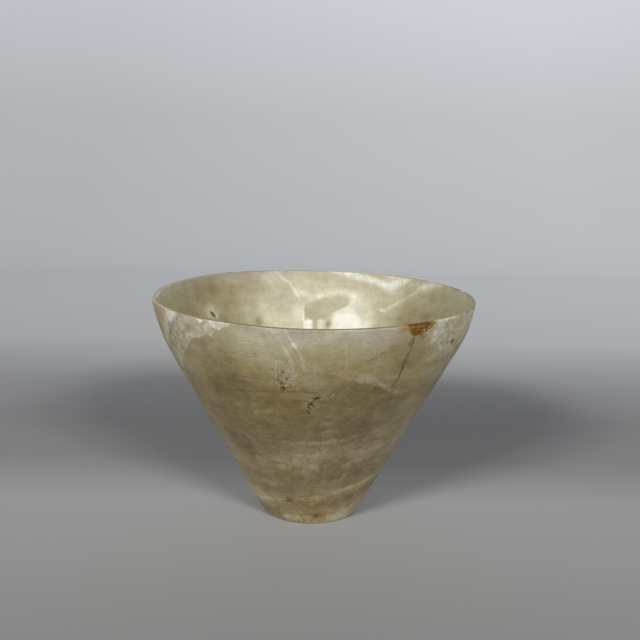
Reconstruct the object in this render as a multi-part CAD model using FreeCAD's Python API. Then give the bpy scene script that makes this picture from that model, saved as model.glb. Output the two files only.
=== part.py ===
"""Conical stone cup with a thin lip. An amber resin fill closes a chip in its rim,
and a thin seam of the same resin fills the crack that runs down from the chip.

Millimetres, +Z up, origin at the middle of the flat foot. The front is at -Y, and
angles are counted in degrees from the front, towards +X.
"""

import FreeCAD, Part
import math
import os

# Outside: a straight cone that turns upright on a ball-shaped shoulder, up to the lip
height = 80.5
rim_diameter = 116.0
foot_diameter = 35.5  # where the straight side would meet the table
foot_edge_radius = 1.6
lip_lean = 10.0  # degrees off upright, outside, at the lip

# Inside: a ball-shaped floor, a cone and a ball-shaped shoulder, so the wall thickens downwards
lip_thickness = 1.7
lip_crown = 0.17  # how far the middle of the lip stands above its two edges
inner_lip_lean = 13.5
floor_thickness = 9.0
floor_radius = 29.0

# Chip in the rim, and the fill in it. Places are shares of the chip's width and depth,
# counted from its left top corner.
chip_angle = 37.3
chip_width = 12.0
chip_depth = 4.1
chip_narrowing_share = 0.12  # lost between the outer face and the inner one, at the lip
chip_left_shares = (0.0, 0.06)
chip_corner_shares = (0.08, 0.56)
chip_tip_shares = (0.235, 1.0)
chip_belly_shares = (0.61, 0.77)
chip_right_shares = (1.0, 0.05)
fill_crown = 0.15  # how far the fill stands proud of the stone, outside and on top

# Crack below the chip, and the seam in it. Places are shares of its length, sideways then down.
crack_angle = 33.9
crack_length = 18.2
crack_width = 0.45
crack_depth = 1.4
crack_path_shares = ((0.03, 0.0), (0.055, 0.13), (-0.005, 0.35), (-0.01, 0.63), (-0.015, 0.8), (-0.057, 1.0))
crack_width_shares = (0.8, 0.7, 0.75, 1.0, 0.7, 0.4)

# Natural pits in the outer face: angle, then shares: height, radius, depth
pit_radius = 1.1
outer_pit_shares = ((-9.8, 0.735, 1.0, 0.45), (2.3, 0.692, 0.9, 0.4), (0.1, 0.652, 0.7, 0.45))

# Natural slot in the inner face
inner_pit_length = 3.4
inner_pit_width = 1.5
inner_pit_depth = 0.8
inner_pit_angle = -129.2
inner_pit_lean = 45.0  # degrees off upright, with its top towards larger angles
inner_pit_height_share = 0.817

# Small chips off the lip's outer edge: angle, and depth as a share of the lip's thickness
nick_radius = 3.2
nick_shares = ((-80.0, 0.3), (57.0, 0.32), (68.0, 0.22))

# Every cutter runs past the stone by this much
overrun = 3.0

rim_radius = rim_diameter / 2
foot_radius = foot_diameter / 2
lip_level = height - lip_crown
axis = FreeCAD.Vector(0, 0, 1)
centre = FreeCAD.Vector(0, 0, 0)


def at(radius, level):
    """A point of the cup's half section."""
    return FreeCAD.Vector(radius, 0, level)


def pointing(turn):
    """The direction at an angle up from level."""
    return at(math.cos(turn), math.sin(turn))


def line(start, end):
    return Part.LineSegment(start, end).toShape()


def arc(start, middle, end):
    return Part.Arc(start, middle, end).toShape()


class Ball:
    """A ball on the cup's axis, which an arc of the section follows."""

    def __init__(self, level, radius):
        self.middle = at(0, level)
        self.radius = radius

    def point(self, turn):
        return self.middle + pointing(turn) * self.radius

    def arc(self, start_turn, end_turn):
        return arc(self.point(start_turn), self.point((start_turn + end_turn) / 2), self.point(end_turn))


def shoulder_ball(radius, lean):
    """The ball that passes through the lip at this radius, leaning out by this much."""
    turn = math.radians(lean)
    return Ball(lip_level + radius * math.tan(turn), radius / math.cos(turn))


def outer_turns():
    """The outer shoulder, and the angles where its arc meets the straight side and the lip."""
    shoulder = shoulder_ball(rim_radius, lip_lean)
    to_foot = at(foot_radius, 0) - shoulder.middle
    start = math.acos(shoulder.radius / to_foot.Length) - math.atan2(-to_foot.z, to_foot.x)
    return shoulder, start, math.radians(-lip_lean)


def outer_edges(shoulder, start, end):
    """The outline from the middle of the foot up to the end of the shoulder."""
    side_top = shoulder.point(start)
    upwards = at(-math.sin(start), math.cos(start))
    corner = side_top - upwards * (side_top.z / upwards.z)
    half_angle = (math.pi / 2 - start) / 2
    reach = foot_edge_radius / math.tan(half_angle)
    gap = foot_edge_radius / math.sin(half_angle) - foot_edge_radius
    foot_end = corner - at(reach, 0)
    side_start = corner + upwards * reach
    to_round = (upwards - at(1, 0)).normalize()
    return [
        line(centre, foot_end),
        arc(foot_end, corner + to_round * gap, side_start),
        line(side_start, side_top),
        shoulder.arc(start, end),
    ]


def revolved(edges):
    face = Part.Face(Part.Wire(edges))
    return face.revolve(centre, axis, 360)


def core(inset):
    """The solid cup shape, drawn in square to its side by this much, with a flat top."""
    shoulder, start, end = outer_turns()
    inner = Ball(shoulder.middle.z, shoulder.radius - inset)
    rim = inner.point(end)
    top = at(0, rim.z)
    return revolved(outer_edges(inner, start, end) + [line(rim, top), line(top, centre)])


def cup(crown=0.0):
    """The whole cup, with its outside and lip raised by the crown."""
    shoulder, start, end = outer_turns()
    raised = Ball(shoulder.middle.z, shoulder.radius + crown)
    outer_lip = raised.point(end)
    inner_lip = at(rim_radius - lip_thickness, lip_level)
    top = at(rim_radius - lip_thickness / 2, height + crown)
    inner_shoulder = shoulder_ball(inner_lip.x, inner_lip_lean)
    floor = Ball(floor_thickness + floor_radius, floor_radius)
    rise = inner_shoulder.middle.z - floor.middle.z
    wall_turn = -math.asin((inner_shoulder.radius - floor_radius) / rise)
    edges = outer_edges(raised, start, end) + [
        arc(outer_lip, top, inner_lip),
        inner_shoulder.arc(math.radians(-inner_lip_lean), wall_turn),
        line(inner_shoulder.point(wall_turn), floor.point(wall_turn)),
        floor.arc(wall_turn, -math.pi / 2),
        line(at(0, floor_thickness), centre),
    ]
    return revolved(edges)


def placed(angle, radius, sideways, level):
    """A point beside the radial line at this angle from the front."""
    turn = math.radians(angle)
    outwards = FreeCAD.Vector(math.sin(turn), -math.cos(turn), 0)
    right = FreeCAD.Vector(math.cos(turn), math.sin(turn), 0)
    return outwards * radius + right * sideways + axis * level


def chip_outline(beyond):
    """The chip's edge on an upright plane this far outside the rim. It narrows towards its top middle."""
    size_share = 1 + chip_narrowing_share * beyond / lip_thickness

    def corner(shares, above=0.0):
        sideways = (shares[0] - 0.5) * chip_width * size_share
        level = height + above - shares[1] * chip_depth * size_share
        return placed(chip_angle, rim_radius + beyond, sideways, level)

    left_top = corner((0.0, 0.0), overrun)
    right_top = corner((1.0, 0.0), overrun)
    left = corner(chip_left_shares)
    tip = corner(chip_tip_shares)
    right = corner(chip_right_shares)
    edges = [
        line(left_top, left),
        arc(left, corner(chip_corner_shares), tip),
        arc(tip, corner(chip_belly_shares), right),
        line(right, right_top),
        line(right_top, left_top),
    ]
    return Part.Wire(edges)


def chip_cutter():
    return Part.makeLoft([chip_outline(overrun), chip_outline(-lip_thickness - overrun)], True, True)


def crack_cutter():
    """A thin crooked blade below the chip's tip, as deep as the crack."""
    top_level = height - chip_depth
    sides = {-1: [], 1: []}
    for (across_share, down_share), width_share in zip(crack_path_shares, crack_width_shares):
        level = top_level - down_share * crack_length
        for side, points in sides.items():
            sideways = across_share * crack_length + side * width_share * crack_width / 2
            points.append(placed(crack_angle, rim_radius + overrun, sideways, level))
    outline = sides[-1] + sides[1][::-1]
    outline.append(outline[0])
    face = Part.Face(Part.makePolygon(outline))
    blade = face.extrude(placed(crack_angle, rim_radius - foot_radius + overrun, 0, 0) * -1)
    return blade.cut(core(crack_depth))


def outer_radius(level):
    """The radius of the outer face at one level."""
    shoulder, start, end = outer_turns()
    above = level - shoulder.point(start).z
    if above > 0:
        return math.sqrt(shoulder.radius**2 - (shoulder.middle.z - level) ** 2)
    return shoulder.point(start).x - above * math.tan(start)


def pit_cutters():
    """Balls that bite shallow natural pits into the outer face."""
    balls = []
    for angle, height_share, radius_share, depth_share in outer_pit_shares:
        radius = pit_radius * radius_share
        level = height * height_share
        middle = placed(angle, outer_radius(level) + radius * (1 - depth_share), 0, level)
        balls.append(Part.makeSphere(radius, middle))
    return balls


def inner_pit_cutter():
    """A rounded slot that runs slantwise up the inner face."""
    shoulder = shoulder_ball(rim_radius - lip_thickness, inner_lip_lean)
    turn = math.asin((height * inner_pit_height_share - shoulder.middle.z) / shoulder.radius)
    radius = inner_pit_width / 2
    half_length = inner_pit_length / 2 - radius
    lean = math.radians(inner_pit_lean)
    sideways = half_length * math.sin(lean)
    half_turn = half_length * math.cos(lean) / shoulder.radius
    track = Ball(shoulder.middle.z, shoulder.radius + inner_pit_depth - radius)
    low_place = track.point(turn - half_turn)
    high_place = track.point(turn + half_turn)
    low = placed(inner_pit_angle, low_place.x, -sideways, low_place.z)
    high = placed(inner_pit_angle, high_place.x, sideways, high_place.z)
    rod = Part.makeCylinder(radius, (high - low).Length, low, high - low)
    return [rod, Part.makeSphere(radius, low), Part.makeSphere(radius, high)]


def nick_cutters():
    """Balls that take small chips off the lip's outer edge."""
    balls = []
    for angle, depth_share in nick_shares:
        away = (nick_radius - lip_thickness * depth_share) * math.sqrt(0.5)
        middle = placed(angle, rim_radius + away, 0, lip_level + away)
        balls.append(Part.makeSphere(nick_radius, middle))
    return balls


def stone_body():
    return cup().cut([chip_cutter(), crack_cutter()] + pit_cutters() + inner_pit_cutter() + nick_cutters())


def rim_fill():
    """The resin in the chip: it follows the wall's two curves and stands a little proud."""
    return cup(fill_crown).common(chip_cutter())


def crack_resin():
    """The resin in the crack, level with the outer face and closed behind by stone."""
    return cup().common(crack_cutter()).cut(chip_cutter())


def save(name, shape):
    solids = shape.Solids
    print(name, len(solids), "solid", round(shape.Volume, 2), "mm3", shape.isValid())
    result = solids[0] if len(solids) == 1 else Part.makeCompound(solids)
    result.exportStep(os.path.join("parts", name + ".step"))


os.makedirs("parts", exist_ok=True)
save("stone_body", stone_body())
save("rim_fill", rim_fill())
save("crack_resin", crack_resin())
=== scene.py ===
"""Looks of the conical stone cup: banded calcite, an amber resin fill in the rim and a dark crack below it.

Metres, +Z up, the front at -Y. Sizes in the tables are millimetres, because they are easier to read that way,
and angles are degrees from the front towards +X, so the middle of the back is at 180.
"""

import math

import bmesh
import bpy
import numpy as np
from mathutils import Matrix, Vector


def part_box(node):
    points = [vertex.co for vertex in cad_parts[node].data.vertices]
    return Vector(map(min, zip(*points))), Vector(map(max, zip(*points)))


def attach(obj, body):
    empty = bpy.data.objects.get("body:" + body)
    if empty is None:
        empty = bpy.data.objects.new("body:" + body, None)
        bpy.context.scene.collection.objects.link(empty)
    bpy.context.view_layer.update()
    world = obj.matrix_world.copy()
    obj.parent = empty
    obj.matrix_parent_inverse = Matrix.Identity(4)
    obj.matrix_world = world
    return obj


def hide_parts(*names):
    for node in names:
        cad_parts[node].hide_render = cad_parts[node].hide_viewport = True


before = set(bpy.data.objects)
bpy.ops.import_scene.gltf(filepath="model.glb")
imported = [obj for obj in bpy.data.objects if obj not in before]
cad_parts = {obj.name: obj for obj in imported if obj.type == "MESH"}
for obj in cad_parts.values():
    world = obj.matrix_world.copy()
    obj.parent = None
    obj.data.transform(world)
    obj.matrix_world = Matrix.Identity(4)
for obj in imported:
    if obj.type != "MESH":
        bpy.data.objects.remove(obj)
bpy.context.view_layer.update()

mm = 0.001
tau = 2 * math.pi
# Closer points than this are one point, and a line of no length counts as this long
same_point = 1e-6
no_length = 1e-9

# The cup's section, as the solid has it
_, high_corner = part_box("stone_body")
height = high_corner.z / mm
rim_radius = high_corner.x / mm
foot_radius = 17.75
foot_edge_radius = 1.6
lip_lean = 10.0
lip_thickness = 1.7
lip_crown = 0.17
inner_lip_lean = 13.5
floor_thickness = 9.0
floor_radius = 29.0
lip_level = height - lip_crown
# Its edges are rounded off: how far below the top each face ends, and how full the round is
outer_lip_drop = 0.45
inner_lip_drop = 0.7
lip_fullness = 0.6
# How much thinner the lip is at each angle, on its inner side, and the levels where that fades in
thinnings = (
    (-180, 0), (-94, 0), (-86, 0.3), (-78, 0.7), (-44, 0.7), (-26, 0.2), (20, 0.15), (28, 0), (48, 0),
    (62, 0.6), (112, 0.6), (126, 0),
)
thinning_levels = (66.0, 78.0)
# How far out the whole wall sways near the rim, at each angle, as no hand-turned cup is quite round
wall_sways = (
    (-130, 0), (-98, -0.4), (-64, -0.4), (-38, 0), (50, 0), (68, 0.3), (104, 0.3), (130, 0), (160, 0.25),
    (-160, 0.2),
)
sway_levels = (52.0, 68.0)

# Spacing of the mesh's rings by level and of its columns by angle, and where it is closer: from, to, spacing
ring_gap = 3.0
outer_ring_gaps = ((0.0, 45.0, 1.2), (45.0, 80.5, 0.6), (49.0, 67.0, 0.36))
inner_ring_gaps = ((56.0, 80.5, 0.75), (62.5, 69.5, 0.36))
column_gap = 1.22
column_gaps = ((-68.0, 78.0, 0.68), (-14.0, 6.0, 0.36), (30.0, 46.0, 0.5), (-133.5, -124.5, 0.36))
# Over how many steps each way one spacing passes into the next
spacing_blend = 7
# How finely the circle is stepped to place the columns
angle_steps = 7200

# Camera: the photo's focal length in pixels of a frame 640 wide, its place and its lean
photo_width = 640.0
focal_pixels = 962.0
sensor_width = 36.0
camera_place = (2.66, -342.2, 142.99)
camera_pitch = 11.81
camera_roll = 0.93


def at(radius, level):
    return np.array([radius, level])


class Ball:
    """A ball on the cup's axis, which an arc of the section follows."""

    def __init__(self, level, radius):
        self.level = level
        self.radius = radius

    def point(self, turn):
        return at(self.radius * math.cos(turn), self.level + self.radius * math.sin(turn))

    def turn_at(self, level):
        return math.asin((level - self.level) / self.radius)

    def arc(self, start, end, steps=300):
        return [self.point(start + (end - start) * i / steps) for i in range(steps + 1)]


def shoulder_ball(radius, lean):
    """The ball that passes through the lip at this radius, leaning out by this much."""
    turn = math.radians(lean)
    return Ball(lip_level + radius * math.tan(turn), radius / math.cos(turn))


def straight(start, end, steps=300):
    return [start + (end - start) * i / steps for i in range(steps + 1)]


def rounded(centre, radius, start, end, steps=60):
    turns = [math.radians(start + (end - start) * i / steps) for i in range(steps + 1)]
    return [centre + at(math.cos(turn), math.sin(turn)) * radius for turn in turns]


def outer_line():
    """The outside of the section, from the middle of the foot up to the lip."""
    shoulder = shoulder_ball(rim_radius, lip_lean)
    to_foot = at(foot_radius, -shoulder.level)
    start = math.acos(shoulder.radius / np.hypot(*to_foot)) - math.atan2(-to_foot[1], to_foot[0])
    side_top = shoulder.point(start)
    upwards = at(-math.sin(start), math.cos(start))
    half_angle = (math.pi / 2 - start) / 2
    reach = foot_edge_radius / math.tan(half_angle)
    foot_end = at(foot_radius - reach, 0.0)
    edge_middle = at(foot_end[0], foot_edge_radius)
    side_start = at(foot_radius, 0.0) + upwards * reach
    points = straight(at(0.0, 0.0), foot_end)
    points += rounded(edge_middle, foot_edge_radius, -90.0, math.degrees(start))
    points += straight(side_start, side_top)
    points += shoulder.arc(start, shoulder.turn_at(height - outer_lip_drop))
    return points


def inner_line():
    """The inside of the section, from the lip down to the middle of the bowl."""
    shoulder = shoulder_ball(rim_radius - lip_thickness, inner_lip_lean)
    floor = Ball(floor_thickness + floor_radius, floor_radius)
    turn = -math.asin((shoulder.radius - floor_radius) / (shoulder.level - floor.level))
    points = shoulder.arc(shoulder.turn_at(height - inner_lip_drop), turn)
    points += straight(shoulder.point(turn), floor.point(turn))
    points += floor.arc(turn, -math.pi / 2)
    return points


def spread(places, gap_tables, widest):
    """Steps along a line, closer where the tables say. places says where each point of the line is."""
    gaps = np.full(len(places), widest)
    for start, end, gap in gap_tables:
        gaps[(places >= start) & (places <= end)] = gap
    window = np.ones(2 * spacing_blend + 1) / (2 * spacing_blend + 1)
    padded = np.concatenate([gaps[:1].repeat(spacing_blend), gaps, gaps[-1:].repeat(spacing_blend)])
    return np.convolve(padded, window, "valid")


def resampled(points, gap_tables, widest):
    """The same line with points as far apart as the tables say, by level."""
    points = np.array(points)
    lengths = np.hypot(*np.diff(points, axis=0).T)
    keep = np.concatenate([[True], lengths > same_point])
    points = points[keep]
    along = np.concatenate([[0.0], np.cumsum(np.hypot(*np.diff(points, axis=0).T))])
    gaps = spread(points[:, 1], gap_tables, widest)
    count = np.concatenate([[0.0], np.cumsum(np.diff(along) / ((gaps[1:] + gaps[:-1]) / 2))])
    wanted = np.linspace(0.0, count[-1], int(round(count[-1])) + 1)
    return np.stack([np.interp(wanted, count, line) for line in points.T], axis=1)


def column_angles():
    """The angles of the mesh's columns, once round."""
    angles = np.linspace(-180.0, 180.0, angle_steps + 1)
    gaps = spread(angles, column_gaps, column_gap)
    count = np.concatenate([[0.0], np.cumsum(np.diff(angles) / gaps[1:])])
    wanted = np.linspace(0.0, count[-1], int(round(count[-1])) + 1)[:-1]
    return np.interp(wanted, count, angles)


def smooth(value, low, high):
    """0 below low, 1 above high, and a soft step between."""
    share = np.clip((value - low) / (high - low), 0.0, 1.0)
    return share * share * (3 - 2 * share)


def lip_line(outer_end, inner_start, top, steps=9):
    """The rounded lip between the two faces."""
    turns = np.linspace(0.0, math.pi, steps + 2)[1:-1]
    shares = (1 - np.cos(turns)) / 2
    line = outer_end + (inner_start - outer_end) * shares[:, None]
    line[:, 1] += (top - line[:, 1]) * np.sin(turns) ** lip_fullness
    return line


def looped(table, angle):
    """Values of a table that runs once round, in between its angles too."""
    places, values = np.array(table, float).T
    return np.interp(angle, np.append(places, places[0] + 360.0), np.append(values, values[0]))


def wall_middle(level):
    """The radius halfway through the wall at each level."""
    outer, inner = np.array(outer_line()), np.array(inner_line())[::-1]
    outside = np.interp(level, outer[:, 1], outer[:, 0])
    inside = np.interp(level, inner[:, 1], inner[:, 0], left=0.0)
    return (outside + inside) / 2


def swayed(angle, level):
    """How far out the whole wall sways."""
    return looped(wall_sways, angle) * smooth(level, *sway_levels)


def thinned(angle, level, radius):
    """How far out the inner face moves where the lip is thinner. The outer face stays."""
    across_share = np.clip((wall_middle(level) - radius) / lip_thickness + 0.5, 0.0, 1.0)
    return looped(thinnings, angle) * smooth(level, *thinning_levels) * across_share


# Natural pits and small losses of the outer face: angle, level, width across, height, depth
large_pits = (
    (-9.8, 59.2, 1.7, 2, 0.5), (-9.4, 65.5, 0.9, 1.2, 0.3), (-11.4, 62.3, 0.8, 1, 0.3),
    (-10.6, 60.8, 0.9, 1, 0.35), (1.5, 55.5, 1.4, 0.9, 0.45), (2.6, 56, 1.4, 0.8, 0.45),
    (3.6, 56.4, 1, 0.7, 0.35), (0.2, 53.4, 1.3, 1.5, 0.45), (-0.4, 52, 1.2, 1, 0.4),
    (1, 52.6, 0.8, 0.8, 0.3), (-1, 50.4, 1.1, 0.9, 0.3), (-0.2, 49.3, 0.7, 0.7, 0.3),
    (7.2, 58.5, 0.7, 0.6, 0.2), (10.4, 57, 0.7, 0.6, 0.2), (-11, 64.6, 0.9, 0.8, 0.3),
    (-8.4, 63, 0.9, 1.1, 0.3), (-10.2, 57.6, 1, 0.9, 0.3), (-12.2, 59.8, 0.7, 0.9, 0.3),
    (54, 71.3, 1.6, 1.3, 0.3), (57.4, 71, 1.3, 2, 0.35), (-17.2, 11.3, 1.9, 1, 0.3),
    (6.9, 3.5, 1.4, 1.2, 0.3),
)
# Groups of fine pits: middle angle and level, spread in degrees and in level, count, widest
pit_groups = (
    (-10, 62, 1.6, 2.6, 34, 0.8), (-0.2, 52.6, 1.3, 2.4, 26, 0.7), (5, 57.6, 4.5, 1, 16, 0.5),
    (14, 60, 12, 6, 26, 0.45), (57, 75, 8, 3.5, 30, 0.8), (-52, 72, 8, 4, 16, 0.5),
    (-20, 40, 30, 18, 40, 0.4), (30, 30, 26, 16, 30, 0.4), (180, 50, 70, 20, 70, 0.6),
)
# How softly a group fades out
group_softness = 3
# Fine pits: their width of the widest, how much longer they are across, and how deep, as shares
pit_width_shares = (0.45, 1.0)
pit_across_shares = (0.7, 1.5)
pit_depth_share = 0.45
# How far below the rim the highest of them lies
pit_rim_gap = 2.0
pit_seed = 11

# Slot in the inner face, with its middle, lean in degrees, length, width and depth
slot_place = (-129.0, 66.0)
slot_lean = -38.0
slot_length = 4.2
slot_width = 1.6
slot_depth = 0.85

# Soft unevenness of the two faces: length and height of its waves, and seed
outer_swells = ((26.0, 0.07, 21), (9.0, 0.018, 22))
inner_swells = ((20.0, 0.07, 31), (7.0, 0.02, 32))
# Where the relief fades out: at the foot, in the middle of the bowl, round the fill, and partly at the lip
foot_relief_levels = (0.0, 4.0)
bowl_relief_radii = (0.5, 8.0)
calm_angle = 37.5
calm_reach = (9.0, 15.0)
calm_levels = (50.0, 56.0)
lip_relief_drop = 1.5
lip_relief_loss_share = 0.6

# How uneven the rim is: angle and rise, once round
rim_rises = (
    (-180, 0.1), (-140, 0.65), (-100, 0.35), (-62, 0.7), (-32, 0.6), (-8, 0.1), (25, 0), (50, 0),
    (95, 0.05), (140, 0.1),
)
rim_rise_from = 55.0
rise_blend = 11

# Chips off the lip's outer edge: angle, width across, height, depth
lip_chips = (
    (-86, 16, 2.2, 1.1), (-78, 4, 1.6, 0.7), (-71, 2.4, 1, 0.35), (-37.5, 1.6, 0.9, 0.25),
    (-55, 2.6, 0.7, 0.2), (48.5, 2.4, 1.3, 0.55), (53, 3.6, 1.5, 0.6), (58.5, 4.4, 1.2, 0.55),
    (64.5, 3.8, 1, 0.45), (71, 4.6, 1.2, 0.5), (104, 3, 0.9, 0.4), (127, 2, 0.8, 0.3),
    (160, 3.4, 0.9, 0.35), (-168, 2.2, 0.8, 0.3), (-146, 4, 1, 0.35), (-117, 2.6, 0.9, 0.3),
)
# The finest chips: count, size, their width, height and depth as shares, and seed
fine_lip_chips = 80
fine_chip_size = 0.6
fine_chip_width_shares = (0.5, 2.2)
fine_chip_tall_share = 0.6
fine_chip_depth_share = 0.16
lip_seed = 5
# No chip lies between these angles, where the fill is
fill_edges = (30.5, 45.0)
# How much of a chip's depth goes inwards and down
chip_inward_share, chip_down_share = 0.75, 0.55


# How long the single waves are, as shares of the length asked for
wave_length_shares = (0.7, 1.5)


def waves(across, up, length, height, seed, count=9):
    """A soft uneven field over the surface: waves of about this length that run all ways."""
    draw = np.random.default_rng(seed)
    total = np.zeros_like(across)
    for _ in range(count):
        turn = draw.uniform(0, tau)
        pace = tau / (length * draw.uniform(*wave_length_shares))
        total += np.sin((across * math.cos(turn) + up * math.sin(turn)) * pace + draw.uniform(0, tau))
    return total * height / math.sqrt(count / 2)


# How much longer the slanting wall is than it is high, and how long the waves of painted edges are
wall_slope = 1.13
wobble_length = 3.0
# What stands for far from every line, and for far outside an outline
far_off = 50.0
far_outside = -20.0


class Canvas:
    """One face of the cup laid flat: each point's angle, its level, and how long one degree is there."""

    def __init__(self, angle, level, radius, wobble=0.0, seed=1):
        self.degree = np.radians(1.0) * radius
        self.slope = wall_slope
        across = angle * self.degree
        self.angle = angle + waves(across, level, wobble_length, wobble, seed) / self.degree
        self.level = level + waves(across, level, wobble_length, wobble, seed + 1)

    def steps(self, place):
        """How far each point lies from a place, across and up."""
        turn = (self.angle - place[0] + 180.0) % 360.0 - 180.0
        return turn * self.degree, (self.level - place[1]) * self.slope

    def away(self, points):
        """How far each point lies from a line through these places, how far along it (0 to 1), and its side.

        The side is the distance again, below 0 on the line's left.
        """
        nearest = np.full(len(self.level), np.inf)
        along = np.zeros(len(self.level))
        side = np.zeros(len(self.level))
        parts = len(points) - 1
        for i in range(parts):
            across, up = self.steps(points[i])
            back_across, back_up = self.steps(points[i + 1])
            run, rise = across - back_across, up - back_up
            share = np.clip((across * run + up * rise) / (run * run + rise * rise + no_length), 0.0, 1.0)
            gap = np.hypot(across - run * share, up - rise * share)
            turned = np.where(run * up - rise * across < 0, -gap, gap)
            closer = gap < nearest
            nearest[closer] = gap[closer]
            along[closer] = ((i + share) / parts)[closer]
            side[closer] = turned[closer]
        return nearest, along, side

    def inside(self, points):
        """Whether each point lies within the outline through these places."""
        found = np.zeros(len(self.level), bool)
        first = points[0][0]
        own = (self.angle - first + 180.0) % 360.0 - 180.0
        turns = [(turn - first + 180.0) % 360.0 - 180.0 for turn, _ in points]
        levels = [level for _, level in points]
        for i in range(len(points)):
            if levels[i - 1] == levels[i]:
                continue
            crosses = (levels[i - 1] > self.level) != (levels[i] > self.level)
            share = (self.level - levels[i - 1]) / (levels[i] - levels[i - 1])
            found ^= crosses & (own < turns[i - 1] + share * (turns[i] - turns[i - 1]))
        return found

    def patch(self, points, softness):
        """1 inside an outline and 0 outside, with an edge this soft."""
        gap, _, _ = self.away(tuple(points) + (points[0],))
        signed = np.where(self.inside(points), gap, -gap)
        return smooth(signed, -softness / 2, softness / 2)

    def spot(self, angle, level, width, tall, lean=0.0):
        """1 in the middle of a rounded spot, falling to 0 at its edge."""
        across, up = self.steps((angle, level))
        turn = math.radians(lean)
        along = up * math.cos(turn) - across * math.sin(turn)
        beside = across * math.cos(turn) + up * math.sin(turn)
        away = np.hypot(beside / (width / 2), along / (tall / 2))
        return np.clip(1 - away * away, 0.0, 1.0)


def scattered_pits():
    """The fine pits of every group, each as angle, level, width, height and depth."""
    draw = np.random.default_rng(pit_seed)
    pits = []
    for angle, level, spread_angle, spread_level, count, widest in pit_groups:
        for _ in range(count):
            width = widest * draw.uniform(*pit_width_shares)
            turn = draw.normal(angle, spread_angle)
            rise = min(draw.normal(level, spread_level), height - pit_rim_gap)
            across = width * draw.uniform(*pit_across_shares)
            pits.append((turn, rise, across, width, width * pit_depth_share))
    return pits


def swells(face, table):
    """The soft unevenness of a face."""
    return sum(waves(face.angle * face.degree, face.level, *swell) for swell in table)


def outer_relief(face):
    """How far the outer face lies in or out of the plain form."""
    relief = swells(face, outer_swells)
    for angle, level, width, tall, depth in list(large_pits) + scattered_pits():
        relief -= depth * face.spot(angle, level, width, tall)
    return relief


def inner_relief(face):
    slot = np.sqrt(face.spot(*slot_place, slot_width, slot_length, slot_lean))
    return swells(face, inner_swells) - slot_depth * slot


def lip_losses(angle, level):
    """How far the lip's outer edge is chipped back at each point."""
    draw = np.random.default_rng(lip_seed)
    chips = list(lip_chips)
    for _ in range(fine_lip_chips):
        width = fine_chip_size * draw.uniform(*fine_chip_width_shares)
        turn = draw.uniform(-180, 180)
        chips.append((turn, width, width * fine_chip_tall_share, width * fine_chip_depth_share))
    face = Canvas(angle, level, np.full(len(angle), rim_radius))
    loss = np.zeros(len(angle))
    for turn, width, tall, depth in chips:
        if not fill_edges[0] < turn < fill_edges[1]:
            loss = np.maximum(loss, depth * np.sqrt(face.spot(turn, height, width, tall * 2)))
    return loss


def softened_rise(angle):
    """The rim's rise at each angle, with its corners rounded off."""
    turns = np.arange(-180.0, 180.0)
    rises = looped(rim_rises, turns)
    window = np.hanning(2 * rise_blend + 1)
    window /= window.sum()
    padded = np.concatenate([rises[-rise_blend:], rises, rises[:rise_blend]])
    softened = np.convolve(padded, window, "valid")
    return np.interp(angle, np.append(turns, 180.0), np.append(softened, softened[0]))


def around(turns, radius, level):
    """Points round the axis, from their turns in radians, their radii and their levels."""
    return np.stack([radius * np.sin(turns), -radius * np.cos(turns), level], axis=1)


def body_section():
    """The stone's section from the foot over the lip to the bowl, and where in it the lip starts and ends."""
    outer = resampled(outer_line(), outer_ring_gaps, ring_gap)
    inner = resampled(inner_line(), inner_ring_gaps, ring_gap)
    lip = lip_line(outer[-1], inner[0], height)
    return np.concatenate([outer[1:], lip, inner[:-1]]), len(outer) - 1, len(outer) - 1 + len(lip)


def body_places(section, lip_start, lip_end, turns):
    """The angle, radius and level of every point of the stone, with relief, chips and an uneven rim."""
    ways = np.gradient(section, axis=0)
    ways /= np.hypot(*ways.T)[:, None]
    normals = np.stack([ways[:, 1], -ways[:, 0]], axis=1)
    angle = np.tile(turns, len(section))
    radius, level = section.repeat(len(turns), axis=0).T
    out_r, out_z = normals.repeat(len(turns), axis=0).T
    ring = np.arange(len(section)).repeat(len(turns))
    is_outer = ring < lip_start
    is_inner = ring >= lip_end

    face = Canvas(angle, level, np.maximum(radius, 1.0))
    relief = np.zeros(len(angle))
    relief[is_outer] = (outer_relief(face) * smooth(level, *foot_relief_levels))[is_outer]
    relief[is_inner] = (inner_relief(face) * smooth(radius, *bowl_relief_radii))[is_inner]
    near_fill = 1 - smooth(np.abs(angle - calm_angle), *calm_reach)
    relief *= 1 - near_fill * smooth(level, *calm_levels)
    relief *= 1 - smooth(level, height - lip_relief_drop, height) * lip_relief_loss_share
    loss = np.where(is_inner, 0.0, lip_losses(angle, level))
    radius = radius + thinned(angle, level, radius) + swayed(angle, level)
    radius = radius + relief * out_r - loss * chip_inward_share
    level = level + relief * out_z - loss * chip_down_share * ~is_outer
    return angle, radius, level + softened_rise(angle) * smooth(level, rim_rise_from, height)


def body_faces(rings, columns):
    """Quads between the rings, and the fans that close the foot and the bowl."""
    starts = np.arange(columns)
    beside = (starts + 1) % columns
    lows = (np.arange(rings - 1) * columns)[:, None]
    highs = lows + columns
    quads = np.stack([lows + starts, lows + beside, highs + beside, highs + starts], axis=-1)
    last_ring = (rings - 1) * columns
    foot = np.stack([np.full(columns, rings * columns), beside, starts], axis=1)
    bowl = np.stack([np.full(columns, rings * columns + 1), last_ring + starts, last_ring + beside], axis=1)
    return quads.reshape(-1, 4).tolist() + foot.tolist() + bowl.tolist()


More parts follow.
